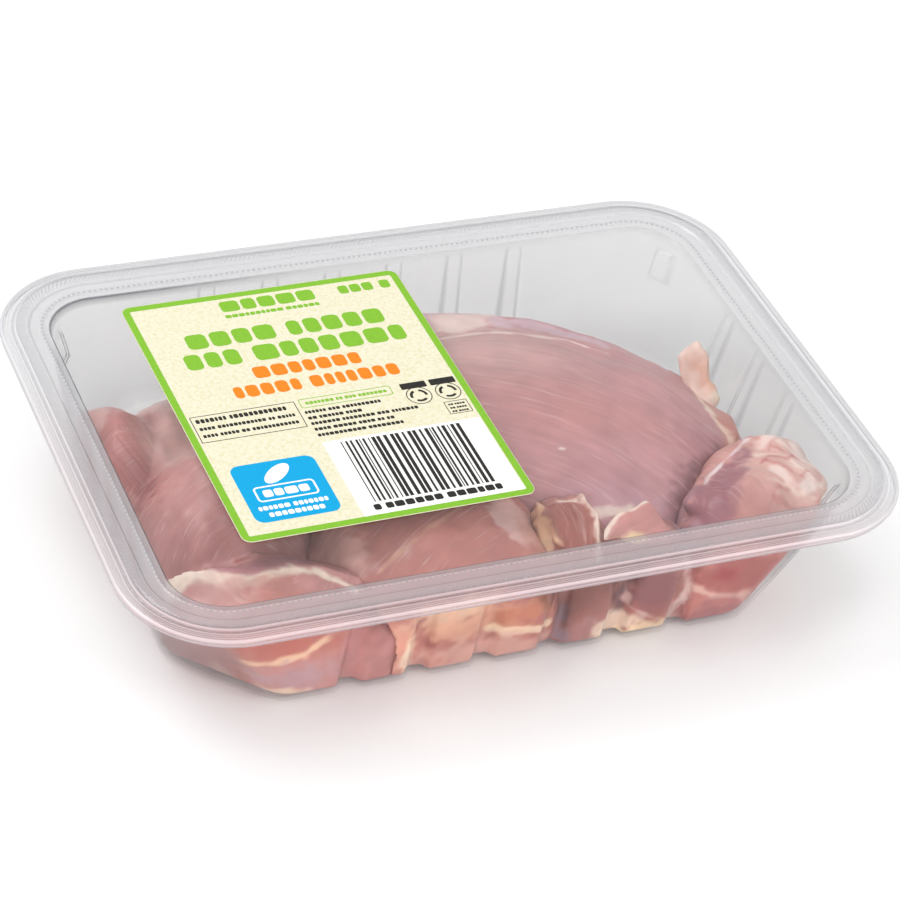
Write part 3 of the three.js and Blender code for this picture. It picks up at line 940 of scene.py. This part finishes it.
def raw_meat(name, wet):
    """Raw chicken: wet muscle whose fibres run along the fibre attribute.

    Pale threads show where the meat lies flat, and fade on its steep sides.
    """
    material, tree = new_material(name)
    tint = attribute(tree, "flesh", "Vector")
    grain = attribute(tree, "fibre", "Vector")
    place = node(tree, "ShaderNodeTexCoord").outputs["Object"]

    def noise(at, scale, detail):
        return node(
            tree, "ShaderNodeTexNoise", Vector=at, Scale=scale, Detail=detail
        ).outputs["Fac"]

    def stretched(scale):
        return node(tree, "ShaderNodeMapping", Vector=grain, Scale=scale).outputs[0]

    bundles = noise(stretched((0.035, 0.5, 0.1)), 1.0, 3.0)
    threads = noise(stretched((0.06, 1.5, 0.25)), 1.0, 2.0)
    blotch = noise(place, 1 / (BLOTCH_PITCH * MM), 4.0)
    lines = ranged(tree, bundles, (0.3, 0.7), (0.93, 1.07))
    broad = ranged(tree, blotch, (0.3, 0.7), (0.9, 1.1))
    muscle = node(
        tree, "ShaderNodeVectorMath", {"operation": "SCALE"},
        Vector=tint, Scale=maths(tree, "MULTIPLY", lines, broad),
    )
    normal = node(tree, "ShaderNodeNewGeometry").outputs["Normal"]
    upright = node(tree, "ShaderNodeSeparateXYZ", Vector=normal).outputs["Z"]
    lying_flat = ranged(tree, upright, (0.2, 0.6), (0.0, 0.25))
    pale = ranged(
        tree, threads, (0.55, 0.75), (0.0, lying_flat), {"interpolation_type": "SMOOTHSTEP"}
    )
    streaked = mixed(tree, pale, muscle.outputs[0], rgba("#e6cdc8"))
    height = node(
        tree, "ShaderNodeMath", {"operation": "MULTIPLY_ADD"}, i0=threads, i1=0.35, i2=bundles
    )
    bump = node(
        tree, "ShaderNodeBump", Height=height.outputs[0], Strength=0.6, Distance=0.06 * MM
    )
    gleam = ranged(tree, blotch, (0.3, 0.7), (wet - 0.08, wet + 0.1))
    flesh = node(
        tree, "ShaderNodeBsdfPrincipled",
        Base_Color=streaked, Roughness=gleam, IOR=1.4,
        Subsurface_Weight=0.3, Subsurface_Scale=0.003, Normal=bump.outputs["Normal"],
    )
    flesh.subsurface_method = "BURLEY"
    flesh.inputs["Subsurface Radius"].default_value = (1.0, 0.35, 0.25)
    node(tree, "ShaderNodeOutputMaterial", Surface=flesh.outputs[0])
    return material


def dress_flesh(piece, points, flesh, patches, fibre):
    """Gives a piece of meat its colours, its fibre direction and its place on the pack."""
    colours = np.column_stack([paint(points, flesh, patches), np.ones(len(points))])
    layer = piece.data.attributes.new("flesh", "FLOAT_COLOR", "POINT")
    layer.data.foreach_set("color", colours.ravel())
    layer = piece.data.attributes.new("fibre", "FLOAT_VECTOR", "POINT")
    layer.data.foreach_set("vector", fibre(points).ravel())
    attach(piece, "root")


def make_fillet(name, cad_node, fillet, flesh, patches, fibre):
    points, faces = fillet_surface(fillet)
    piece = mesh_object(name, points, faces.tolist(), [meat])
    dress_flesh(piece, points, flesh, patches, fibre)
    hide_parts(cad_node)


def straight_fibre(turn, bow=0.0):
    """Fibres across the plan at an angle, bowed sideways by so much per square of length."""
    def fibre(points):
        along, across, up = turned_offset(points, (0, 0, 0), turn)
        return np.stack([along, across + bow * along * along, up], axis=1)
    return fibre


def ringed_fibre(middle):
    """Fibres that run round a middle in plan."""
    def fibre(points):
        x, y, z = (points - np.array([*middle, 0.0])).T
        return np.stack([np.arctan2(y, x) * 25.0, np.hypot(x, y), z], axis=1)
    return fibre


meat = raw_meat("raw chicken thigh", 0.36)
corner_fillet = {
    "heart": (68, -42, 12), "blend": 3.0, "lumps": 0.55, "seed": 3, "against": [],
    "lobes": [
        ((73, -38, 12), (27, 18, 23.2), 35),
        ((84, -42, 10), (14, 18, 22), 0),
        ((58, -52, 7), (17, 14, 21), 0),
    ],
    "strands": [
        ([(78, -22, 28), (69, -27, 29), (60, -33, 28), (52, -41, 27)], [1.0, 1.4, 1.4, 2.4], 1.5),
    ],
    "creases": [],
}
folded_end = {
    "heart": (28, -47, 12), "blend": 2.5, "lumps": 0.5, "seed": 5, "against": [],
    "lobes": [
        ((38, -50, 8), (13, 13, 22), 0),
        ((19, -41, 10), (12.5, 18, 21), 8),
    ],
    "strands": [
        ([(22, -32, 27), (33, -37, 29), (43, -43, 28)], [1.0, 1.2, 0.8], 1.5),
        ([(24, -34, 29), (24, -43, 31), (21, -52, 29)], [1.0, 1.2, 1.0], 1.5),
        ([(12, -34, 28), (13, -43, 29), (11, -52, 27)], [1.2, 1.4, 1.4], 1.5),
    ],
    "creases": [
        ([(29, -38, 31), (29, -48, 31), (28, -58, 24)], [0.9, 1.2, 0.8], 2.0),
        ([(18, -34, 30), (17.5, -44, 31), (16, -54, 29)], [1.0, 1.2, 0.8], 2.0),
    ],
}
CORNER_PATCHES = on_side("top", [
    ("#d6aba1", 0.85, 3.0, (77, -41), (13, 13), 20),
    ("#dcc3bc", 0.7, 2.5, (85, -38), (5, 12), 0),
    ("#eed6c8", 0.8, 1.2, [(78, -28), (84, -33), (88, -42), (86, -50)], [1.8, 1.4, 1.6, 1.2]),
    ("#eed6c8", 0.7, 0.8, [(73, -34), (80, -38), (84, -44)], [0.9, 0.6, 0.9]),
    ("#eed6c8", 0.7, 0.7, [(70, -45), (77, -47), (83, -49)], [0.7, 0.6, 0.8]),
    ("#bb6866", 0.6, 0.6, [(74, -30), (79, -33), (83, -37)], [0.4, 0.7, 0.4]),
    ("#c0706d", 0.55, 0.6, [(73, -38), (78, -42), (84, -46)], [0.5, 0.7, 0.4]),
    ("#c0706d", 0.55, 0.5, [(82, -30), (86, -36)], [0.4, 0.5]),
    ("#c0706d", 0.5, 0.6, [(68, -48), (74, -50), (80, -51)], [0.6, 0.5, 0.4]),
    ("#ecd9d2", 0.8, 1.0, (79, -29), (4, 2.2), 30),
    ("#ecd9d2", 0.8, 1.0, (86, -34), (2.0, 3.4), 20),
    ("#ecd9d2", 0.7, 1.0, (75, -43), (3.6, 1.8), -20),
    ("#ecd9d2", 0.7, 1.0, (82, -46), (3.4, 1.8), 15),
    ("#b75f60", 0.65, 0.5, [(71, -39), (75, -36), (79, -38), (82, -36)],
     [0.3, 0.5, 0.5, 0.3]),
    ("#b75f60", 0.65, 0.5, [(76, -34), (78, -31), (82, -29)], [0.3, 0.5, 0.3]),
    ("#b75f60", 0.6, 0.5, [(79, -45), (83, -42), (87, -44)], [0.3, 0.5, 0.3]),
    ("#b75f60", 0.6, 0.6, [(68, -51), (72, -47), (76, -47)], [0.4, 0.5, 0.3]),
    ("#b75f60", 0.6, 0.5, [(83, -51), (87, -47)], [0.4, 0.3]),
    ("#99606b", 0.9, 2.2, [(51, -50), (56, -44.5), (62, -37.5), (69, -31)],
     [6.0, 5.4, 4.2, 1.8]),
    ("#8c6672", 0.7, 1.0, [(46, -43), (52, -37.5)], [2.0, 1.6]),
    ("#b9807c", 0.6, 2.5, (67, -48), (6, 5), 0),
    ("#84505a", 0.8, 1.4, (43, -45), (4.5, 4.5), 0),
    # Painted highlight: a pale silvery line along the crest of the ridge strand.
    ("#e8d6d6", 0.9, 0.5, [(76, -25), (70, -29), (65, -31.5), (60, -34.5), (57, -37)],
     [0.9, 0.5, 0.4, 0.6, 0.3]),
    ("#b5a0ae", 0.6, 1.0, (46, -47), (2.2, 1.4), 35),
    ("#9a564b", 0.85, 3.0, (19, -44), (10, 11), 0),
    ("#b5776c", 0.8, 3.0, (32, -46), (9, 6), 0),
    # A pale fat line on the folded end, painted lighter as painted light where it lies in shade.
    ("#f2c8a4", 0.9, 0.8, [(13, -31), (10.5, -38), (10.5, -45), (10.5, -52)],
     [0.9, 1.0, 1.0, 0.9]),
    ("#e8d3c6", 0.85, 0.8, [(18, -33), (24, -34), (33, -40), (44, -44)], 0.8),
    ("#e8d3c6", 0.85, 0.7, [(23, -36), (23, -44), (21, -52)], 0.7),
]) + on_side("front", [
    ("#75393c", 0.7, 2.0, [(8, 24), (10, 11)], [1.8, 2.6]),
    ("#a56e66", 0.75, 3.0, (19, 17), (9, 7), 0),
    ("#b88c8a", 0.75, 2.0, (18, 6), (8, 5), 0),
    ("#ab9aa6", 0.8, 1.4, (10, 8), (3, 6), 0),
    ("#e6d3c2", 0.85, 1.4, (27, 6), (7, 4), 0),
    ("#ead6ba", 0.85, 1.2, (36, 2), (9, 3.5), 0),
    ("#6b3b44", 0.75, 1.6, [(28, 24), (28, 12)], [2.6, 2.0]),
    ("#b8949a", 0.5, 1.6, (38, 26), (8, 3), 0),
    ("#985f64", 0.8, 2.6, (36, 16), (7, 8), 0),
    ("#d4b6ae", 0.8, 0.7, [(27.5, 22), (29, 12), (37, 6)], 0.5),
    ("#e2cac4", 0.9, 0.8, [(43, 25), (46, 13), (42, 2)], [0.8, 1.2, 0.8]),
    ("#ae655f", 0.8, 3.0, (60, 18), (15, 8), 0),
    ("#ad3f44", 0.7, 1.8, (55, 18), (2.6, 2.6), 0),
    ("#d8b4a8", 0.4, 1.6, [(58, 24), (72, 22)], [1.6, 2.0]),
    ("#e2c4b8", 0.8, 0.9, [(46, 15), (54, 10), (63, 8)], [0.8, 1.0, 0.8]),
    ("#a9767a", 0.7, 3.0, (58, 2), (14, 7), 0),
    ("#dab8ae", 0.7, 1.2, [(62, 9), (64, 3)], [1.4, 1.4]),
])
make_fillet(
    "corner_fillet", "thigh_corner", corner_fillet, "#c98f87", CORNER_PATCHES, straight_fibre(-62)
)
make_fillet(
    "corner_fillet_folded_end", "thigh_corner", folded_end, "#b27a70", CORNER_PATCHES,
    straight_fibre(80),
)

# Right fillet: the large smooth dome in the middle of the pack, with a soft rim of
# silvery membrane along its back edge.
right_fillet = {
    "heart": (32, 5, 8), "blend": 5.0, "lumps": 0.22, "seed": 11,
    "against": [corner_fillet, folded_end],
    "lobes": [
        ((32, 5, 12.5), (55, 44, 22), -40),
        ((22, 44, 8), (20, 9, 19), -10),
        ((77, -6, 6), (9, 14, 15), 0),
        ((74, 18, 4), (12, 12, 14), 0),
    ],
    "strands": [
        ([(2, 42, 25), (12, 45, 27), (24, 42, 27), (40, 36, 28), (54, 27, 27)],
         [1.0, 2.6, 2.2, 1.6, 0.8], 3.0),
        ([(78, 4, 18), (81, -5, 20), (79, -13, 22)], [1.4, 1.8, 1.2], 2.0),
    ],
    "creases": [
        ([(4, 36, 30), (23, 34, 32.5), (34, 30, 33.5), (45, 24, 33.5), (54, 18, 33)],
         [0.8, 0.9, 0.8, 0.6, 0.4], 1.6),
    ],
}
RIGHT_PATCHES = on_side("top", [
    ("#c4a29c", 0.6, 10.0, (14, 26), (30, 16), -30),
    ("#b67f7c", 0.7, 9.0, (34, -8), (30, 12), -38),
    ("#bb8a8f", 0.7, 5.0, (48, -30), (22, 10), -30),
    # Painted shade: the dome's lower right is darker by the corner lump, and a dark painted crevice
    # runs along where the two meet.
    ("#a8747a", 0.8, 4.0, (66, -22), (10, 7), -55),
    ("#75424b", 0.8, 3.0,
     [(46, -45), (51, -38), (56, -31), (61.5, -26), (68, -22.5), (74, -19)],
     [2.5, 2.5, 2.2, 2.0, 1.6, 1.2]),
    ("#c79ba6", 0.7, 3.0, (34, -35), (12, 4.5), -20),
    ("#dcc6bf", 0.9, 1.8, (20, 41), (12, 4.5), -14),
    ("#c6aab4", 0.85, 1.4, [(30, 38), (39, 35), (46, 29), (56, 23)], [2.0, 2.2, 2.0, 1.6]),
    ("#b893a4", 0.7, 1.0, [(6, 44), (14, 46), (24, 45)], [1.0, 1.2, 1.0]),
    ("#e6d2ca", 0.8, 0.5, [(4, 37), (23, 33.5), (34, 29.5), (45, 23.5), (54, 18)], 0.5),
    ("#ead8cc", 0.9, 0.6, [(22, -32), (30, -35.5), (37, -36.5), (44, -40)], 0.8),
    ("#f3ded6", 0.9, 0.4, (25, -18), (1.2, 0.5), -20),
    ("#c48476", 0.85, 1.4, [(80, 8), (79, -5), (77, -17)], [2.2, 3.4, 3.0]),
    ("#ecd3bf", 0.85, 0.8, [(78, 8), (76, 0), (75, -8), (77, -16)], [1.0, 0.8, 0.7, 0.9]),
])
make_fillet(
    "right_fillet", "thigh_right", right_fillet, "#b98688", RIGHT_PATCHES,
    straight_fibre(-33, 0.0022),
)

# Left fillet: two muscles and a rounded lump in the left end, with a ragged band of
# pale fat along its front fold, pressed flat against the front wall.
left_fillet = {
    "heart": (-66, -24, 12), "blend": 3.0, "lumps": 0.4, "seed": 23, "against": [],
    "lobes": [
        ((-62, -12, 10), (25, 30, 25), 6),
        ((-64, -47, 9.5), (35, 19, 23), -4),
        ((-79.5, 15, 10), (13.5, 23, 22), 14),
        ((-58, 20, 8), (24, 22, 20), 0),
    ],
    "strands": [
        ([(-87, -36, 27), (-81, -41, 29), (-73, -44, 30)], [4.0, 4.0, 3.5], 4.0),
        ([(-86, -38, 30), (-80, -41.5, 31), (-73, -44, 31), (-66, -45, 31), (-59, -44, 30.5),
          (-50, -44.5, 30), (-42, -49, 28)], [1.4, 2.0, 1.8, 1.2, 1.1, 0.9, 0.8], 1.6),
        ([(-77, -35, 27), (-71, -33.5, 28), (-64, -35, 28.5), (-55, -38, 28)],
         [0.8, 1.2, 1.2, 0.8], 1.4),
    ],
    "creases": [
        ([(-70, 28, 26), (-71.5, 17, 28), (-76, 6.5, 28.5), (-81, -2, 28.5), (-85, -8, 27)],
         [1.6, 2.0, 2.0, 1.6, 1.0], 3.0),
        ([(-84, -30, 28), (-76, -31, 29), (-66, -32, 30.5), (-54, -35, 30), (-45, -40, 30)], 0.7, 2.0),
    ],
}
LEFT_PATCHES = on_side("top", [
    ("#b0706c", 0.7, 4.0, (-82, 10), (12, 20), 0),
    # Painted shade along the crease between the lump and the muscle.
    ("#84403f", 0.9, 1.8, [(-70, 27), (-71.5, 17), (-76, 6.5), (-81, -2), (-85, -8)],
     [1.4, 2.0, 2.0, 1.6, 1.2]),
    ("#dcc0bc", 0.7, 2.0, (-62, 30), (10, 5), 0),
    ("#d3aaa4", 0.7, 2.0, (-86, 27), (5, 6), 0),
    ("#a96f6e", 0.35, 6.0, (-70, -24), (16, 8), 0),
    ("#d0a6a1", 0.8, 5.0, (-64, 12), (14, 14), 0),
    ("#a8737a", 0.9, 1.2, [(-80, -38.5), (-74, -41), (-68, -43), (-61, -41.5), (-54, -42)],
     [2.0, 3.4, 3.4, 3.0, 2.0]),
    ("#f0dfce", 0.95, 0.8,
     [(-88, -42), (-81.5, -42.3), (-78, -44.5), (-75, -46.2), (-68, -47.6), (-60, -45.6),
      (-52, -46.2), (-44, -52)],
     [2.0, 1.8, 1.4, 1.4, 1.4, 1.1, 1.0, 0.8]),
    ("#b9766a", 0.7, 3.0, (-68, -53), (14, 6), 0),
]) + on_side("front", [
    ("#cc9e98", 0.85, 4.0, (-64, 8), (28, 14), 0),
    ("#c47664", 0.8, 4.0, (-64, 20), (17, 5.5), 0),
    ("#eccfb4", 0.85, 0.9, [(-50, 23), (-58, 16), (-72, 14)], [0.9, 1.3, 0.8]),
    ("#c3a6ac", 0.8, 2.4, (-59, 8), (11, 4.5), 0),
    ("#e8d2bf", 0.85, 1.0, (-62, 3), (6, 2.4), 0),
    ("#c28c8a", 0.75, 2.2, [(-45, 19), (-45, 3)], [2.6, 3.0]),
    ("#a82c2c", 0.8, 0.9, (-43, 22), (1.5, 1.3), 0),
]) + on_side("top", [
    ("#cf9f9a", 0.7, 4.0, (-80, -50), (8, 6), 0),
]) + on_side("front", [
    ("#bf918f", 0.85, 3.0, (-83, 8), (9, 15), 0),
    ("#ecd9cf", 0.85, 0.6, [(-83, 13), (-76, 8), (-70, 4)], 0.6),
])
make_fillet(
    "left_fillet", "thigh_left", left_fillet, "#bd8582", LEFT_PATCHES, ringed_fibre((-62, -42))
)

# Middle fillet: a smooth muscle that rises under the label and drops to the front wall,
# where its orange fat and pale seams show through the tray.
middle_fillet = {
    "heart": (-20, -26, 8), "blend": 6.0, "lumps": 0.25, "seed": 31,
    "against": [folded_end, right_fillet, left_fillet],
    "lobes": [
        ((-18, -34, 10), (36, 34, 25), -6),
        ((-20, 0, 8), (30, 26, 18), 20),
    ],
    "strands": [([(-37, -16, 27), (-38, -30, 28), (-40, -41, 27)], [3.0, 3.0, 2.0], 5.0)],
    "creases": [
        ([(-27, -54, 33), (-27, -60, 26), (-26, -60, 10)], [0.3, 0.4, 0.3], 1.6),
    ],
}
MIDDLE_PATCHES = on_side("top", [
    # Painted light: these two lighten the slope by the label's corner and the seam with the left
    # fillet, where shade falls.
    ("#dab3ad", 0.85, 1.6, (5, -39), (8.5, 8), 15),
    ("#dcaaa2", 0.8, 3.0, (-43, -40), (6, 9), 0),
    ("#c98c7c", 0.6, 3.0, (8, -46), (5, 10), 0),
    ("#d9a98f", 0.6, 0.6, [(-36, -48), (-18, -40), (0, -30)], 0.4),
]) + on_side("front", [
    ("#e6b3a0", 0.85, 4.0, (-35, 12), (8, 10), 0),
    ("#f0dfca", 0.9, 0.9, [(-29, 14), (-30, 6), (-28, 0)], [1.4, 1.8, 1.2]),
    ("#ead0b8", 0.8, 1.8, (-20, 21), (10, 4.5), 0),
    ("#dcb098", 0.85, 2.0, (-10, 16), (18, 5), 0),
    ("#c47f60", 0.75, 1.8, (-1, 16), (8, 3.5), 0),
    ("#eed9c0", 0.9, 0.8, [(-8, 12), (8, 9)], [1.3, 1.1]),
    ("#d9b3a8", 0.8, 3.0, (-10, 4), (18, 6), 0),
])
make_fillet(
    "middle_fillet", "thigh_middle", middle_fillet, "#b7776f", MIDDLE_PATCHES,
    straight_fibre(24, 0.001),
)


# Trimmed edges: a flap of skin and a tag of fat left on the fillets by the knife. Each is
# a small soft sheet, thick in its middle and thin at its edges, and part of its fillet.
def smooth_through(values, steps):
    """A curve or a grid of them through control values along the first axis."""
    padded = np.concatenate([2 * values[:1] - values[1:2], values, 2 * values[-1:] - values[-2:-1]])
    out = []
    for place in np.linspace(0, len(values) - 1, steps):
        i = min(int(place), len(values) - 2)
        t = place - i
        a, b, c, d = padded[i:i + 4]
        out.append(0.5 * (2 * b + (c - a) * t + (2 * a - 5 * b + 4 * c - d) * t ** 2
                          + (3 * b - a - 3 * c + d) * t ** 3))
    return np.array(out)


FLAP_WAVES = 0.25
FLAP_WAVE_PITCH = 5.0
FLAP_EDGE = 0.12


def make_flap(name, grid, thickness, flesh, patches, turn):
    """A thin wavy flap through a grid of places, with rounded edges."""
    rows = columns = 28
    sheet = smooth_through(np.array(grid, dtype=float), rows)
    sheet = smooth_through(sheet.transpose(1, 0, 2), columns).transpose(1, 0, 2)
    sheet += FLAP_WAVES * ripples(sheet, FLAP_WAVE_PITCH, 41)[..., None]
    normal = np.cross(np.gradient(sheet, axis=0), np.gradient(sheet, axis=1))
    normal /= np.linalg.norm(normal, axis=-1, keepdims=True)
    from_middle = np.linspace(-1, 1, rows)
    edge = (1 - from_middle[:, None] ** 8) * (1 - from_middle[None, :] ** 8)
    half = (FLAP_EDGE + 0.5 * thickness * edge)[..., None]
    top = (sheet + normal * half).reshape(-1, 3)
    bottom = (sheet - normal * half).reshape(-1, 3)
    points = np.concatenate([top, bottom])
    faces = []
    under = rows * columns
    for r in range(rows - 1):
        for c in range(columns - 1):
            a = r * columns + c
            faces.append((a, a + columns, a + columns + 1, a + 1))
            faces.append((under + a, under + a + 1, under + a + columns + 1, under + a + columns))
    border = list(range(columns))
    border += [r * columns + columns - 1 for r in range(1, rows)]
    border += [(rows - 1) * columns + c for c in range(columns - 2, -1, -1)]
    border += [r * columns for r in range(rows - 2, 0, -1)]
    for a, b in zip(border, border[1:] + border[:1]):
        faces.append((a, b, under + b, under + a))
    piece = mesh_object(name, points, faces, [meat])
    dress_flesh(piece, points, flesh, patches, straight_fibre(turn))


make_flap(
    "skin_flap",
    [[(23, -50, 29.5), (28, -53, 29.5), (35, -55, 29.5), (43, -54.5, 29)],
     [(24, -48, 31), (29, -49, 31.5), (35, -50, 31.5), (40, -52, 30.5)],
     [(28, -46, 31.5), (32, -46, 32.2), (35.5, -46.5, 32.5), (38.5, -49, 31.5)],
     [(32, -45, 31.5), (34, -44.5, 32.3), (36, -44, 32.8), (38, -45, 32)]],
    1.4, "#c38782",
    on_side("top", [
        ("#ecd9c9", 0.9, 0.6, [(22, -50), (26, -47), (33, -44.5), (39, -43)], 0.8),
        ("#e9cfa3", 0.85, 1.0, (26, -53.5), (5, 1.6), 0),
    ]),
    20,
)

make_flap(
    "right_fillet_fat_tag",
    [[(79, 22, 22), (79, 18.7, 17.5), (79.5, 12, 15.2), (81, 4.5, 15.8)],
     [(81.5, 22.7, 24.8), (81.5, 18.2, 20), (82, 12.2, 17), (83, 4.8, 16.8)],
     [(84, 21.3, 26.5), (84, 16.6, 22.6), (84, 11.9, 18.7), (84.3, 5.4, 17.6)],
     [(85.2, 18.3, 25), (85.2, 14.4, 21.7), (85.2, 11.3, 18.5), (85.2, 6.4, 17)]],
    3.0, "#ecccbe",
    on_side("top", [
        ("#f0ddd2", 0.8, 1.5, [(78, 23), (82, 23), (86, 20)], 1.6),
        ("#e0a98e", 0.7, 2.0, (83.5, 13), (2.2, 4.5), 0),
        ("#f2e2cd", 0.8, 1.0, (85, 6.5), (2.5, 1.6), 0),
    ]),
    80,
)

# Wet contact: juice fills the gap where a fillet touches the tray, so the wall is
# clearer there. The tray's wet attribute is one at such places.
RESTING = (4.0, 2.0)
TOUCHING = (1.3, 2.2)
WET_FRONT = (-46.0, -52.0)
nearest = np.full(len(tray_points), FAR_AWAY)
for fillet in (corner_fillet, folded_end, right_fillet, left_fillet, middle_fillet):
    nearest = np.minimum(nearest, fillet_distance(tray_points, fillet))
resting = smoothstep(*RESTING, tray_points[:, 2])
pressed = (1 - smoothstep(*TOUCHING, nearest)) * smoothstep(*WET_FRONT, tray_points[:, 1])
point_values(tray, "wet", np.maximum(resting, pressed))

# Plain pale floor, just under the tray, in soft studio light from above and in front. The
# camera stands at the photograph's angle.
FLOOR_HALF = 4000
FLOOR_DROP = 0.2
floor_material, tree = new_material("pale matt floor")
floor_shader = node(tree, "ShaderNodeBsdfPrincipled", Base_Color=rgba("#f4f4f4"), Roughness=0.9)
node(tree, "ShaderNodeOutputMaterial", Surface=floor_shader.outputs[0])
floor_corners = [(x * FLOOR_HALF, y * FLOOR_HALF, -FLOOR_DROP)
                 for x, y in ((-1, -1), (1, -1), (1, 1), (-1, 1))]
floor = mesh_object("floor", floor_corners, [(0, 1, 2, 3)], [floor_material], smooth=False)

world = bpy.data.worlds.new("studio")
bpy.context.scene.world = world
world.use_nodes = True
background = world.node_tree.nodes["Background"]
background.inputs["Color"].default_value = (1.0, 1.0, 1.0, 1.0)
background.inputs["Strength"].default_value = 0.75


PACK_MIDDLE = Vector((0.0, 0.0, 0.02))


def soft_light(name, place, size, power):
    """A rectangular lamp in metres and watts, aimed at the middle of the pack."""
    light = bpy.data.lights.new(name, "AREA")
    light.shape = "RECTANGLE"
    light.size, light.size_y = size
    light.energy = power
    lamp = bpy.data.objects.new(name, light)
    lamp.location = place
    aim = PACK_MIDDLE - Vector(place)
    lamp.rotation_euler = aim.to_track_quat("-Z", "Y").to_euler()
    bpy.context.collection.objects.link(lamp)


soft_light("key", (-0.5, 0.35, 0.9), (0.7, 0.5), 6.0)
soft_light("fill", (0.7, -0.6, 0.7), (0.6, 0.6), 3.0)
soft_light("front", (-0.25, -0.9, 0.22), (0.9, 0.4), 3.6)

AZIMUTH = math.radians(-28.05)
ELEVATION = math.radians(38.71)
ROLL = math.radians(9.46)
DISTANCE = 0.74664
TARGET = Vector((-0.00718, -0.01896, 0.038))
FOCAL_LENGTH = 120.3
back = Vector((
    math.sin(AZIMUTH) * math.cos(ELEVATION),
    -math.cos(AZIMUTH) * math.cos(ELEVATION),
    math.sin(ELEVATION),
))
level = Vector((math.cos(AZIMUTH), math.sin(AZIMUTH), 0.0))
upright = back.cross(level)
right = level * math.cos(ROLL) + upright * math.sin(ROLL)
upward = upright * math.cos(ROLL) - level * math.sin(ROLL)
lens = bpy.data.cameras.new("camera")
lens.lens = FOCAL_LENGTH
lens.sensor_width = 36.0
camera = bpy.data.objects.new("camera", lens)
camera.matrix_world = Matrix.Translation(TARGET + back * DISTANCE) @ Matrix(
    (right, upward, back)
).transposed().to_4x4()
bpy.context.collection.objects.link(camera)
bpy.context.scene.camera = camera
cycles = bpy.context.scene.cycles
cycles.transparent_max_bounces = 24
cycles.max_bounces = 6
cycles.diffuse_bounces = 3
cycles.glossy_bounces = 2
bpy.context.scene.view_settings.view_transform = "Standard"
